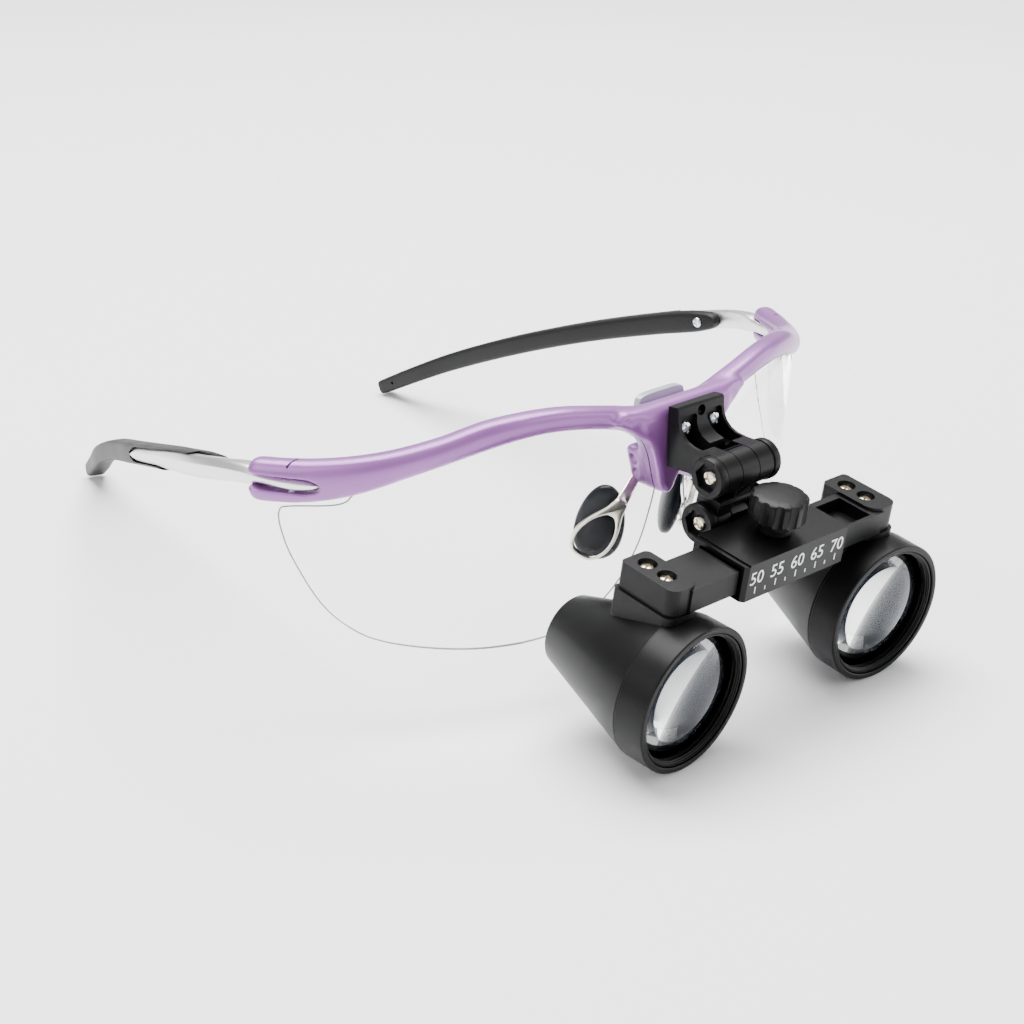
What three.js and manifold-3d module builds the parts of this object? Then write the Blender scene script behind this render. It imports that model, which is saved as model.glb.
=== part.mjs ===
// Dental loupes on a sports frame: two flip-up telescopes under a rack-and-pinion pupil-distance housing.
// Millimetres, +Z up. The wearer looks along -Y; +X is the wearer's left. The table is Z = 0.
import * as THREE from 'three';
import { mergeVertices } from 'three/addons/utils/BufferGeometryUtils.js';
import Module from 'manifold-3d';

const wasm = await Module();
wasm.setup();

// ---- driving dimensions -------------------------------------------------------------------------
const GAP = 0.3;
const DEG = Math.PI / 180;

// brow bar and lenses follow one arc in plan, seen from above
const WRAP = { radius: 72, startX: 8, apexY: -69.6, pantoscopic: 0.1, levelZ: 45 };
const BAR_FRONT = 1.8;
const BAR_BACK = 3.2;
const BAR_END_X = 74;
const BRIDGE = { frontY: -73.7, backY: -67.7, legBackY: -63.6 };
const LENS_THICKNESS = 2;

// temple hinge: a vertical pin through the fork of the brow bar
const HINGE = { x: 68.5, y: -36.5, z: 49.4, pinRadius: 0.9 };
const FORK = { low: 47.5, high: 51.3, tangent: 57 * DEG };

// flip hinge (upper) and tilt hinge (lower), both along X
const FLIP = { y: -86.2, z: 48.7 };
const TILT = { y: -84.0, z: 38.7 };
const KNUCKLE_RADIUS = 3.9;
const EAR = { inner: 2.5, outer: 6.4 };
const CAP = { radius: 4.05, outer: 8.5 };
const BOLT_RADIUS = 1.1;

// pupil-distance housing, in its own deck frame: x, back from its front edge, up from its top face
const DECK = { y: -102.9, z: 37.8, pitch: 8.96 * DEG };
const HOUSING = { halfWidth: 14.72, depth: 13.6, height: 7.84, wall: 1.2 };
const PINION = { back: 6.7, teeth: 10, pitchRadius: 2.5, tip: 2.9, root: 1.85 };
const RACK_PITCH = (2 * Math.PI * PINION.pitchRadius) / PINION.teeth;
const SLIDER = { top: -1.5, bottom: -6.5, front: 1.55, back: 11.85, shoulder: 14.9, railEnd: 8.5 };
const BLOCK = { inner: 24.96, outer: 32.1, front: 1.95, back: 15.9 };
const BLOCK_HOLES = { x: 28.3, back: [7.3, 12.3] };

// telescope: axis from the centre of the objective rim, pointing back
const SCOPE = { x: 27.8, y: -103.1, rimRadius: 15, rimLength: 6.8, length: 32, eyeRadius: 7 };
const SCOPE_TILT = 7.5 * DEG;
const SCOPE_TOE = 3.4 * DEG;
SCOPE.z = SCOPE.rimRadius * Math.cos(SCOPE_TILT);
const { rimRadius, rimLength, length, eyeRadius } = SCOPE;

// ---- materials ----------------------------------------------------------------------------------
function finish(color, roughness, metalness, extra = {}) {
  return new THREE.MeshStandardMaterial({ color, roughness, metalness, ...extra });
}
const ORCHID = finish(0xb58cc0, 0.3, 0.5);
const SATIN_SILVER = finish(0xc9cbc6, 0.35, 0.9);
const BLACK_METAL = finish(0x1b1b1d, 0.45, 0.3);
const BLACK_RUBBER = finish(0x262628, 0.75, 0);
const STEEL = finish(0xc8cccd, 0.25, 1);
const NICKEL = finish(0xcfc6ad, 0.25, 1);
const CLEAR = finish(0xeef2f2, 0.05, 0, { transparent: true, opacity: 0.3 });
const COATED_GLASS = finish(0xdfe6ea, 0.03, 0, { transparent: true, opacity: 0.4 });

// ---- solid helpers ------------------------------------------------------------------------------
function solid(geometry) {
  const bare = geometry.clone();
  bare.deleteAttribute('normal');
  bare.deleteAttribute('uv');
  const merged = mergeVertices(bare, 1e-4);
  const index = merged.index.array;
  const triangles = [];
  for (let i = 0; i < index.length; i += 3) {
    const [a, b, c] = [index[i], index[i + 1], index[i + 2]];
    if (a !== b && b !== c && c !== a) triangles.push(a, b, c);
  }
  const vertProperties = new Float32Array(merged.attributes.position.array);
  return new wasm.Manifold(new wasm.Mesh({ numProp: 3, vertProperties, triVerts: new Uint32Array(triangles) }));
}

function geometryOf(body) {
  const mesh = body.getMesh();
  const geometry = new THREE.BufferGeometry();
  geometry.setAttribute('position', new THREE.BufferAttribute(mesh.vertProperties, 3));
  geometry.setIndex(new THREE.BufferAttribute(mesh.triVerts, 1));
  geometry.computeVertexNormals();
  return geometry;
}

function block(low, high) {
  const size = high.map((value, i) => value - low[i]);
  const box = new THREE.BoxGeometry(...size);
  box.translate((low[0] + high[0]) / 2, (low[1] + high[1]) / 2, (low[2] + high[2]) / 2);
  return solid(box);
}

function rodX(radius, x0, x1, y, z, sides = 24) {
  const rod = new THREE.CylinderGeometry(radius, radius, x1 - x0, sides);
  rod.rotateZ(-Math.PI / 2);
  rod.translate((x0 + x1) / 2, y, z);
  return solid(rod);
}

function rodY(radius, y0, y1, x, z, sides = 20) {
  const rod = new THREE.CylinderGeometry(radius, radius, y1 - y0, sides);
  rod.translate(x, (y0 + y1) / 2, z);
  return solid(rod);
}

function rodZ(radius, z0, z1, x, y, sides = 20) {
  const rod = new THREE.CylinderGeometry(radius, radius, z1 - z0, sides);
  rod.rotateX(Math.PI / 2);
  rod.translate(x, y, (z0 + z1) / 2);
  return solid(rod);
}

function outline(points) {
  return new THREE.Shape(points.map(([x, y]) => new THREE.Vector2(x, y)));
}

// a side outline in (y, z), extruded from x0 to x1
function sidePrism(points, x0, x1) {
  const prism = new THREE.ExtrudeGeometry(outline(points), { depth: x1 - x0, bevelEnabled: false });
  const place = new THREE.Matrix4().makeBasis(
    new THREE.Vector3(0, 1, 0), new THREE.Vector3(0, 0, 1), new THREE.Vector3(1, 0, 0));
  prism.applyMatrix4(place);
  prism.translate(x0, 0, 0);
  return solid(prism);
}

// a front outline in (x, z), extruded from y0 to y1
function frontPrism(points, y0, y1) {
  const prism = new THREE.ExtrudeGeometry(outline(points), { depth: y1 - y0, bevelEnabled: false });
  prism.rotateX(Math.PI / 2);
  prism.translate(0, y1, 0);
  return solid(prism);
}

// a plan outline in (x, y), extruded from z0 to z1
function planPrism(points, z0, z1) {
  const prism = new THREE.ExtrudeGeometry(outline(points), { depth: z1 - z0, bevelEnabled: false });
  prism.translate(0, 0, z0);
  return solid(prism);
}

function turned(profile, sides) {
  return new THREE.LatheGeometry(profile.map(([r, y]) => new THREE.Vector2(r, y)), sides);
}

function along(table, value) {
  let i = 1;
  while (i < table.length - 1 && table[i][0] < value) i += 1;
  const [x0, y0] = table[i - 1];
  const [x1, y1] = table[i];
  return y0 + ((value - x0) / (x1 - x0)) * (y1 - y0);
}

function mirrorX(points) {
  return points.map(([x, y]) => [-x, y]).reverse();
}

const model = new THREE.Group();
model.name = 'dental_loupes';
const deck = new THREE.Group();
deck.position.set(0, DECK.y, DECK.z);
deck.rotation.x = DECK.pitch;
model.add(deck);

function piece(name, body, material, parent = model) {
  const geometry = body instanceof THREE.BufferGeometry ? body : geometryOf(body);
  const mesh = new THREE.Mesh(geometry, material);
  mesh.name = name;
  parent.add(mesh);
  return mesh;
}

const SIDES = [['right', -1], ['left', 1]];

// ---- brow bar -----------------------------------------------------------------------------------
// height of the bar's top and bottom edge against distance from the middle
const BAR_TOP = [[0, 57.8], [8, 58.6], [17, 60.6], [29, 62.2], [41, 61.2], [50, 57.9], [58, 55.2], [66, 53.4],
  [74, 52.8]];
const BAR_BOTTOM = [[0, 52], [10, 53], [15, 55.6], [24, 58.2], [32, 58.9], [40, 57.8], [52, 53.2], [62, 48.2],
  [68, 46.4], [74, 45.6]];

// the y of the wrap arc at a distance from the middle, moved back by an offset
function wrapY(x, offset) {
  const reach = Math.max(0, Math.abs(x) - WRAP.startX);
  const radius = WRAP.radius - offset;
  return WRAP.apexY + WRAP.radius - Math.sqrt(Math.max(0, radius * radius - reach * reach));
}

function wrapPoint(t, offset) {
  const sweep = Math.asin((BAR_END_X - WRAP.startX) / WRAP.radius);
  const straight = WRAP.startX / (WRAP.startX + WRAP.radius * sweep);
  const side = Math.sign(t);
  const reach = Math.abs(t);
  if (reach <= straight) return [side * (reach / straight) * WRAP.startX, WRAP.apexY + offset];
  const angle = ((reach - straight) / (1 - straight)) * sweep;
  const radius = WRAP.radius - offset;
  const centreY = WRAP.apexY + WRAP.radius;
  return [side * (WRAP.startX + radius * Math.sin(angle)), centreY - radius * Math.cos(angle)];
}

function browBar() {
  const steps = 44;
  const bar = new THREE.BoxGeometry(2, 1, 1, steps, 1, 1);
  const place = bar.attributes.position;
  for (let i = 0; i < place.count; i += 1) {
    const offset = place.getY(i) < 0 ? -BAR_FRONT : BAR_BACK;
    const [x, y] = wrapPoint(place.getX(i), offset);
    const middle = wrapPoint(place.getX(i), 0);
    const table = place.getZ(i) < 0 ? BAR_BOTTOM : BAR_TOP;
    place.setXYZ(i, x, y, along(table, Math.abs(middle[0])));
  }
  let body = solid(bar);
  const bridge = [[-13, 57.6], [-11, 53.6], [-9, 50.5], [-7.6, 45], [-6.6, 41.8], [-5.6, 40.9], [-3.4, 40.9],
    [-2.6, 43.5], [0, 45.5], [2.6, 43.5], [3.4, 40.9], [5.6, 40.9], [6.6, 41.8], [7.6, 45], [9, 50.5],
    [11, 53.6], [13, 57.6]];
  body = body.add(frontPrism(bridge, BRIDGE.frontY, BRIDGE.backY));
  for (const [, side] of SIDES) {
    const foot = [[2.8, 40.9], [5.6, 40.9], [6.6, 41.8], [7.6, 45], [8.4, 48.5], [3.4, 48.5]];
    body = body.add(frontPrism(side > 0 ? foot : mirrorX(foot), BRIDGE.backY - 1, BRIDGE.legBackY));
    body = body.subtract(forkSlot(side));
    body = body.subtract(rodZ(HINGE.pinRadius + GAP, 40, 60, side * HINGE.x, HINGE.y, 12));
    body = body.subtract(rodY(0.7 + GAP, -80, -60, side * 4.1, 55.1, 12));
    body = body.subtract(rodZ(0.95, 40, 44, side * 4.2, -65.2, 12));
  }
  return body;
}

// the slot between the fork's two tines, open to the back
function forkSlot(side) {
  const height = FORK.high - FORK.low;
  const slot = new THREE.BoxGeometry(24, 16, height);
  slot.translate(24 / 2 - 6.6, 0, 0);
  const nose = new THREE.CylinderGeometry(height / 2 + 0.8, height / 2 + 0.8, 16, 16);
  nose.scale(1, 1, height / (height + 1.6));
  nose.translate(-6.6, 0, 0);
  const place = new THREE.Matrix4().makeRotationZ(FORK.tangent);
  place.setPosition(HINGE.x, HINGE.y, (FORK.low + FORK.high) / 2);
  if (side < 0) place.premultiply(new THREE.Matrix4().makeScale(-1, 1, 1));
  return solid(slot).add(solid(nose)).transform(place.elements);
}
piece('brow_bar', browBar(), ORCHID);

// ---- lenses -------------------------------------------------------------------------------------
// one clear lens per side, cut from a wrapped sheet and held under the bar by its top edge
const LENS_EDGE = [[5.2, 40.2], [9, 40.2], [10.2, 49], [13, 52.2], [18, 56.2], [24, 57.6], [32, 58.2], [40, 57],
  [52, 52.3], [60.8, 48.2], [62, 46.2], [64, 45.2], [69.2, 44.4], [69.9, 43], [69.5, 39.5], [68.2, 33.2],
  [64.9, 23.6], [61, 18.9], [56.2, 16.2], [46.4, 14.2], [37, 13.5], [27, 14], [19, 16.6], [12.5, 21.5],
  [7.6, 28], [5.4, 34]];

function wrapSheet(side) {
  const half = LENS_THICKNESS / 2;
  const steps = 22;
  const front = [];
  const back = [];
  for (let i = 0; i <= steps; i += 1) {
    const x = 2 + (i / steps) * 69.5;
    front.push([x, wrapY(x, -half)]);
    back.push([x, wrapY(x, half)]);
  }
  const band = [...front, ...back.reverse()];
  const sheet = planPrism(side > 0 ? band : mirrorX(band), 5, 65);
  const lean = new THREE.Matrix4().set(1, 0, 0, 0, 0, 1, -WRAP.pantoscopic, WRAP.pantoscopic * WRAP.levelZ,
    0, 0, 1, 0, 0, 0, 0, 1);
  return sheet.transform(lean.elements);
}

for (const [name, side] of SIDES) {
  const edge = side > 0 ? LENS_EDGE : mirrorX(LENS_EDGE);
  piece(`lens_${name}`, wrapSheet(side).intersect(frontPrism(edge, -90, -20)), CLEAR);
}

// ---- bracket behind the flip hinge --------------------------------------------------------------
const BRACKET = { halfWidth: 6.4, screwX: 4.1, screwZ: 55.1, seatY: -76.3 };

function bracket() {
  const side = [[-74, 59.6], [-76.6, 59.6], [-76.6, 57.4], [-77.6, 55.4], [-79.2, 53.6], [-81.8, 52.7],
    [-86.2, 52.6], [-86.2, 45], [-83, 46.2], [-80.5, 47.6], [-74, 47.4]];
  let body = sidePrism(side, -BRACKET.halfWidth, BRACKET.halfWidth);
  body = body.add(rodX(KNUCKLE_RADIUS, -EAR.outer, EAR.outer, FLIP.y, FLIP.z, 28));
  body = body.subtract(rodX(KNUCKLE_RADIUS + 0.45, -EAR.inner, EAR.inner, FLIP.y, FLIP.z, 28));
  body = body.subtract(block([-EAR.inner, -92, 43], [EAR.inner, FLIP.y, FLIP.z]));
  body = body.subtract(rodX(BOLT_RADIUS + GAP, -10, 10, FLIP.y, FLIP.z, 16));
  for (const [, hand] of SIDES) {
    const inner = 1.6 * hand;
    const outer = 5.8 * hand;
    const pocket = [[-76.3, 57.4], [-90, 57.4], [-90, 53], [-82.5, 52.9], [-80, 50.6], [-76.3, 50.6]];
    body = body.subtract(sidePrism(pocket, Math.min(inner, outer), Math.max(inner, outer)));
    body = body.subtract(rodY(0.7 + GAP, -80, -70, hand * BRACKET.screwX, BRACKET.screwZ, 12));
  }
  body = body.subtract(rodY(1.1, -80, -70, 0, 58, 16));
  return body;
}
piece('bracket', bracket(), BLACK_METAL);

// two screws hold the bracket through the bridge to the back plate
function bracketScrew(hand) {
  const x = hand * BRACKET.screwX;
  const shaft = rodY(0.7, BRACKET.seatY - 0.6, -64.8, x, BRACKET.screwZ, 12);
  return shaft.add(rodY(1.5, BRACKET.seatY - 1.3, BRACKET.seatY - GAP, x, BRACKET.screwZ, 20));
}
for (const [name, hand] of SIDES) piece(`bracket_screw_${name}`, bracketScrew(hand), STEEL);

function backPlate() {
  const edge = [[-5.5, 50.5], [5.5, 50.5], [5.5, 59], [4.7, 59.9], [-4.7, 59.9], [-5.5, 59]];
  let plate = frontPrism(edge, -66.1, -64.6);
  for (const [, hand] of SIDES) plate = plate.subtract(rodY(0.7 + GAP, -70, -60, hand * 4.1, 55.1, 12));
  return plate;
}
piece('bridge_back_plate', backPlate(), SATIN_SILVER);

// ---- hinge caps and bolts -----------------------------------------------------------------------
function hexagon(flats) {
  const radius = flats / Math.sqrt(3);
  const corners = [];
  for (let i = 0; i < 6; i += 1) corners.push([radius * Math.cos(i * 60 * DEG), radius * Math.sin(i * 60 * DEG)]);
  return corners;
}

function hingeCap(axis, hand) {
  const inner = EAR.outer + GAP;
  const x0 = hand > 0 ? inner : -CAP.outer;
  const x1 = hand > 0 ? CAP.outer : -inner;
  let cap = rodX(CAP.radius, x0, x1, axis.y, axis.z, 28);
  const socket = hexagon(4.9).map(([y, z]) => [y + axis.y, z + axis.z]);
  const floor = hand * (CAP.outer - 1.1);
  cap = cap.subtract(sidePrism(socket, Math.min(floor, hand * 9), Math.max(floor, hand * 9)));
  return cap.subtract(rodX(BOLT_RADIUS + GAP, -10, 10, axis.y, axis.z, 16));
}

// the bolt's head shows in the hex socket of the wearer's-right cap
function hingeBolt(axis) {
  const shaft = rodX(BOLT_RADIUS, -8, 7.6, axis.y, axis.z, 16);
  return shaft.add(rodX(1.6, -CAP.outer + 0.1, -CAP.outer + 0.8, axis.y, axis.z, 16));
}

for (const [name, hand] of SIDES) {
  piece(`flip_hinge_cap_${name}`, hingeCap(FLIP, hand), BLACK_METAL);
  piece(`tilt_hinge_cap_${name}`, hingeCap(TILT, hand), BLACK_METAL);
}
piece('flip_hinge_bolt', hingeBolt(FLIP), NICKEL);
piece('tilt_hinge_bolt', hingeBolt(TILT), NICKEL);

// ---- link between the two hinges ----------------------------------------------------------------
function hingeLink() {
  const across = new THREE.Vector2(TILT.y - FLIP.y, TILT.z - FLIP.z);
  const span = across.length();
  const lean = Math.atan2(across.x, -across.y);
  const webTop = KNUCKLE_RADIUS + 0.4;
  const webBottom = span - KNUCKLE_RADIUS - 0.4;
  const earIn = EAR.inner + 0.1;
  // built hanging straight down from the flip axis, then leaned into place
  let link = rodX(KNUCKLE_RADIUS, -2.2, 2.2, 0, 0, 28);
  link = link.add(block([-2.2, -2.6, -webBottom], [2.2, 2.6, 0]));
  link = link.add(block([-6.3, -3.4, -webBottom], [6.3, 3.4, -webTop]));
  for (const hand of [-1, 1]) {
    const x0 = hand > 0 ? earIn : -6.3;
    const x1 = hand > 0 ? 6.3 : -earIn;
    link = link.add(rodX(KNUCKLE_RADIUS, x0, x1, 0, -span, 28));
    link = link.add(block([x0, -2.8, -span], [x1, 2.8, -webTop]));
  }
  link = link.subtract(rodX(BOLT_RADIUS + GAP, -10, 10, 0, 0, 16));
  link = link.subtract(rodX(BOLT_RADIUS + GAP, -10, 10, 0, -span, 16));
  const place = new THREE.Matrix4().makeRotationX(lean);
  place.setPosition(0, FLIP.y, FLIP.z);
  return link.transform(place.elements);
}
piece('hinge_link', hingeLink(), BLACK_METAL);

// ---- pupil-distance housing ---------------------------------------------------------------------
// in the deck frame: x, back, up
function tiltAxisInDeck() {
  const dy = TILT.y - DECK.y;
  const dz = TILT.z - DECK.z;
  const c = Math.cos(DECK.pitch);
  const s = Math.sin(DECK.pitch);
  return { back: dy * c + dz * s, up: dz * c - dy * s };
}

function housing() {
  const axis = tiltAxisInDeck();
  let body = block([-HOUSING.halfWidth, 0, -HOUSING.height], [HOUSING.halfWidth, HOUSING.depth, 0]);
  body = body.subtract(block([-20, SLIDER.front - GAP, SLIDER.bottom - GAP], [20, SLIDER.back + GAP, -HOUSING.wall]));
  body = body.add(block([-2.2, HOUSING.depth - 0.5, axis.up - 2.6], [2.2, axis.back, axis.up + 2]));
  body = body.add(rodX(KNUCKLE_RADIUS, -2.2, 2.2, axis.back, axis.up, 28));
  body = body.subtract(rodX(BOLT_RADIUS + GAP, -5, 5, axis.back, axis.up, 16));
  body = body.subtract(rodZ(1.9, -4, 2, 0, PINION.back, 20));
  return body.subtract(rodZ(1.1, -10, -4, 0, PINION.back, 16));
}
piece('pd_housing', housing(), BLACK_METAL, deck);

function pinionShaft() {
  const points = [];
  const step = 360 / PINION.teeth;
  for (let i = 0; i < PINION.teeth; i += 1) {
    const middle = i * step;
    for (const [turn, r] of [[-10.5, PINION.root], [-3, PINION.tip], [3, PINION.tip], [10.5, PINION.root]]) {
      const angle = (middle + turn) * DEG;
      points.push([r * Math.cos(angle), PINION.back + r * Math.sin(angle)]);
    }
  }
  let body = planPrism(points, -6.1, -2.3);
  body = body.add(rodZ(1.55, -2.4, 2.4, 0, PINION.back, 16));
  return body.add(rodZ(0.8, -7.6, -6, 0, PINION.back, 12));
}
piece('pinion_shaft', pinionShaft(), NICKEL, deck);

// thumb knob: eleven lobes round a blind socket for the pinion shaft
function thumbKnob() {
  const points = [];
  const lobes = 11;
  const perLobe = 6;
  for (let i = 0; i < lobes * perLobe; i += 1) {
    const phase = (i / perLobe) * 2 * Math.PI;
    const r = 5.15 + 0.45 * Math.tanh(2.2 * Math.cos(phase));
    const angle = (i / (lobes * perLobe)) * 2 * Math.PI;
    points.push([r * Math.cos(angle), PINION.back + r * Math.sin(angle)]);
  }
  let knob = planPrism(points, 2.6, 7.2);
  knob = knob.add(rodZ(4.6, 7, 7.6, 0, PINION.back, 24));
  knob = knob.add(rodZ(4.2, GAP, 2.8, 0, PINION.back, 24));
  return knob.subtract(rodZ(1.9, -1, 2.9, 0, PINION.back, 16));
}
piece('thumb_knob', thumbKnob(), BLACK_METAL, deck);

// ---- sliders with their racks -------------------------------------------------------------------
// the wearer's-right rack runs behind the pinion and the wearer's-left rack in front of it, so that
// one turn of the knob moves both outwards
function rackTeeth(side) {
  const facing = -side;
  const tip = PINION.back + facing * 2.1;
  const root = PINION.back + facing * 3.25;
  let teeth = null;
  for (let i = -3; i <= 5; i += 1) {
    const x = -side * i * RACK_PITCH;
    const points = [[x - 0.34, root], [x + 0.34, root], [x + 0.13, tip], [x - 0.13, tip]];
    const tooth = planPrism(facing > 0 ? points : points.reverse(), -6.1, -2.3);
    teeth = teeth ? teeth.add(tooth) : tooth;
  }
  return teeth;
}

function spanX(side, a, b) {
  return side > 0 ? [a, b] : [-b, -a];
}

function slider(side) {
  const [armLow, armHigh] = spanX(side, SLIDER.shoulder, BLOCK.inner + 1);
  const [blockLow, blockHigh] = spanX(side, BLOCK.inner, BLOCK.outer);
  const [railLow, railHigh] = spanX(side, -SLIDER.railEnd, SLIDER.shoulder + 1);
  const armTop = side > 0 ? -4.2 : SLIDER.top;
  let body = block([armLow, SLIDER.front, SLIDER.bottom], [armHigh, SLIDER.back, armTop]);
  if (side > 0) body = body.add(block([armLow, 10.2, SLIDER.bottom], [armHigh, SLIDER.back, SLIDER.top]));
  body = body.add(block([blockLow, BLOCK.front, SLIDER.bottom], [blockHigh, BLOCK.back, SLIDER.top]));
  const railFront = side > 0 ? SLIDER.front : PINION.back + 3.1;
  const railBack = side > 0 ? PINION.back - 3.1 : SLIDER.back;
  body = body.add(block([railLow, railFront, -6.2], [railHigh, railBack, -2.2]));
  body = body.add(rackTeeth(side));
  for (const back of BLOCK_HOLES.back) {
    body = body.subtract(rodZ(1.9, -3.6, 0, side * BLOCK_HOLES.x, back, 20));
    body = body.subtract(rodZ(0.8 + GAP, -8, 0, side * BLOCK_HOLES.x, back, 12));
  }
  return body;
}

// two screws per block, down into the saddle
function blockScrew(side, back) {
  const shaft = rodZ(0.8, -8.4, -3, side * BLOCK_HOLES.x, back, 8);
  return shaft.add(rodZ(1.55, -3.3, -2.5, side * BLOCK_HOLES.x, back, 12));
}

for (const [name, side] of SIDES) {
  piece(`slider_${name}`, slider(side), BLACK_METAL, deck);
  BLOCK_HOLES.back.forEach((back, i) => {
    piece(`block_screw_${name}_${['front', 'rear'][i]}`, blockScrew(side, back), NICKEL, deck);
  });
}

// ---- telescopes ---------------------------------------------------------------------------------
function scopeMatrix(side) {
  const place = new THREE.Matrix4().makeRotationX(SCOPE_TILT);
  place.multiply(new THREE.Matrix4().makeRotationZ(-side * SCOPE_TOE));
  place.setPosition(side * SCOPE.x, SCOPE.y, SCOPE.z);
  return place;
}

function deckMatrix() {
  const place = new THREE.Matrix4().makeRotationX(DECK.pitch);
  place.setPosition(0, DECK.y, DECK.z);
  return place;
}

// wedge that seats the barrel under the block; its underside follows the cone
function saddle(side) {
  const [low, high] = spanX(side, BLOCK.inner - 0.7, BLOCK.outer + 0.7);
  let body = block([low, BLOCK.front, -14.5], [high, BLOCK.back + 0.5, SLIDER.bottom - GAP]);
  for (const back of BLOCK_HOLES.back) {
    body = body.subtract(rodZ(0.8 + GAP, -8.8, 0, side * BLOCK_HOLES.x, back, 12));
  }
  body = body.transform(deckMatrix().elements);
  const grown = turned([[0, -1], [rimRadius + GAP, -1], [rimRadius + GAP, rimLength],
    [eyeRadius + GAP, length], [0, length]], 36);
  return body.subtract(solid(grown).transform(scopeMatrix(side).elements));
}

const BARREL = [[13.9, 0], [13.9, 6.5], [12.6, 6.5], [6.7, 27], [5, 27], [5, 28.4], [5.8, 28.4], [5.8, length],
  [eyeRadius, length], [rimRadius, rimLength], [rimRadius, 0], [13.9, 0]];
const RIM_RING = [[12.2, 0.5], [12.2, 1.6], [12.7, 2.3], [13.6, 2.3], [13.6, 0.5], [12.2, 0.5]];
const OBJECTIVE = [[0, 1], [6, 1.4], [10, 2.1], [13.55, 3.1], [13.55, 5.2], [8, 6.8], [0, 7.6]];
const BAFFLE = [[10.5, 8.6], [10.5, 11], [9.5, 11], [9.5, 13.5], [8.6, 13.5], [8.6, 16], [9.4, 16], [11.5, 8.6],
  [10.5, 8.6]];
const EYE_LENS = [[0, 29.6], [4.5, 29.1], [5.5, 28.8], [5.5, 31], [3.5, 30.7], [0, 30.4]];
const EYE_RING = [[4.5, 31.4], [4.5, 32.5], [5.4, 32.5], [5.4, 31.4], [4.5, 31.4]];

for (const [name, side] of SIDES) {
  const scope = new THREE.Group();
  scope.applyMatrix4(scopeMatrix(side));
  model.add(scope);
  piece(`saddle_${name}`, saddle(side), BLACK_METAL);
  piece(`barrel_${name}`, turned([...BARREL].reverse(), 32), BLACK_METAL, scope);
  piece(`objective_ring_${name}`, turned([...RIM_RING].reverse(), 32), BLACK_METAL, scope);
  piece(`objective_lens_${name}`, turned(OBJECTIVE, 24), COATED_GLASS, scope);
  piece(`light_baffle_${name}`, turned([...BAFFLE].reverse(), 18), BLACK_METAL, scope);
  piece(`eyepiece_lens_${name}`, turned(EYE_LENS, 20), COATED_GLASS, scope);
  piece(`eyepiece_ring_${name}`, turned([...EYE_RING].reverse(), 20), BLACK_METAL, scope);
}

// ---- nose pads ----------------------------------------------------------------------------------
const PAD = { x: 9.7, y: -60.5, z: 31, halfWidth: 4.7, halfLength: 8.4, halfThickness: 2 };

// a frame at the pad: its x is the pad's width, its y its length, its z points at the nose
function padMatrix(side) {
  const toNose = new THREE.Vector3(-side * 0.72, 0.62, 0.2).normalize();
  const lengthwise = new THREE.Vector3(-side * 4.1, 0.5, 13.2).normalize();
  const width = new THREE.Vector3().crossVectors(lengthwise, toNose).normalize();
  lengthwise.crossVectors(toNose, width);
  const place = new THREE.Matrix4().makeBasis(width, lengthwise, toNose);
  place.setPosition(side * PAD.x, PAD.y, PAD.z);
  return place;
}

function ellipse(a, b, sides) {
  const points = [];
  for (let i = 0; i < sides; i += 1) {
    const angle = (i / sides) * 2 * Math.PI;
    points.push([a * Math.cos(angle), b * Math.sin(angle)]);
  }
  return points;
}

function padArm(side) {
  let ring = planPrism(ellipse(4.3, 7.6, 24), -3.5, -2.5);
  ring = ring.subtract(planPrism(ellipse(3.2, 5.6, 20).map(([x, y]) => [x, y - 0.7]), -4, -2));
  ring = ring.transform(padMatrix(side).elements);
  const foot = new THREE.Vector3(side * 4.2, -65.2, 42.8);
  const knee = new THREE.Vector3(side * 4.4, -64.9, 40);
  const root = new THREE.Vector3(0, 6.3, -3.5).applyMatrix4(padMatrix(side));
  return ring.add(rodBetween(foot, knee, 0.6)).add(rodBetween(knee, root, 0.6));
}

function rodBetween(start, end, radius) {
  const axis = end.clone().sub(start);
  const rod = new THREE.CylinderGeometry(radius, radius, axis.length() + radius, 10);
  const place = new THREE.Matrix4().makeRotationFromQuaternion(
    new THREE.Quaternion().setFromUnitVectors(new THREE.Vector3(0, 1, 0), axis.normalize()));
  place.setPosition(start.clone().add(end).multiplyScalar(0.5));
  rod.applyMatrix4(place);
  return solid(rod);
}

for (const [name, side] of SIDES) {
  const pad = new THREE.SphereGeometry(1, 14, 8);
  pad.scale(PAD.halfWidth, PAD.halfLength, PAD.halfThickness);
  pad.applyMatrix4(padMatrix(side));
  piece(`nose_pad_${name}`, solid(pad), BLACK_RUBBER);
  piece(`pad_arm_${name}`, padArm(side), SATIN_SILVER);
}

// ---- temples ------------------------------------------------------------------------------------
// centre line of each temple as it lies, from the hinge to the tip; the right one is folded in further
const TEMPLE_PATHS = {
  right: [[-68.5, -36.5, 49.4], [-70.8, -25, 49], [-69.4, -9, 45.2], [-64.4, 9, 40], [-58, 27, 34],
    [-51, 47, 27.3], [-44, 66.5, 20.6], [-39.5, 80, 14.6], [-34, 92.5, 7.2], [-30, 102, 1.62]],
  left: [[68.5, -36.5, 49.4], [70.8, -25, 49], [70, -11, 46], [69.4, 9, 40.2], [68.2, 28, 34],
    [66.8, 51, 25.4], [65.6, 74, 15.6], [64.6, 88, 8.8], [63.8, 102, 1.63]],
};

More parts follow.
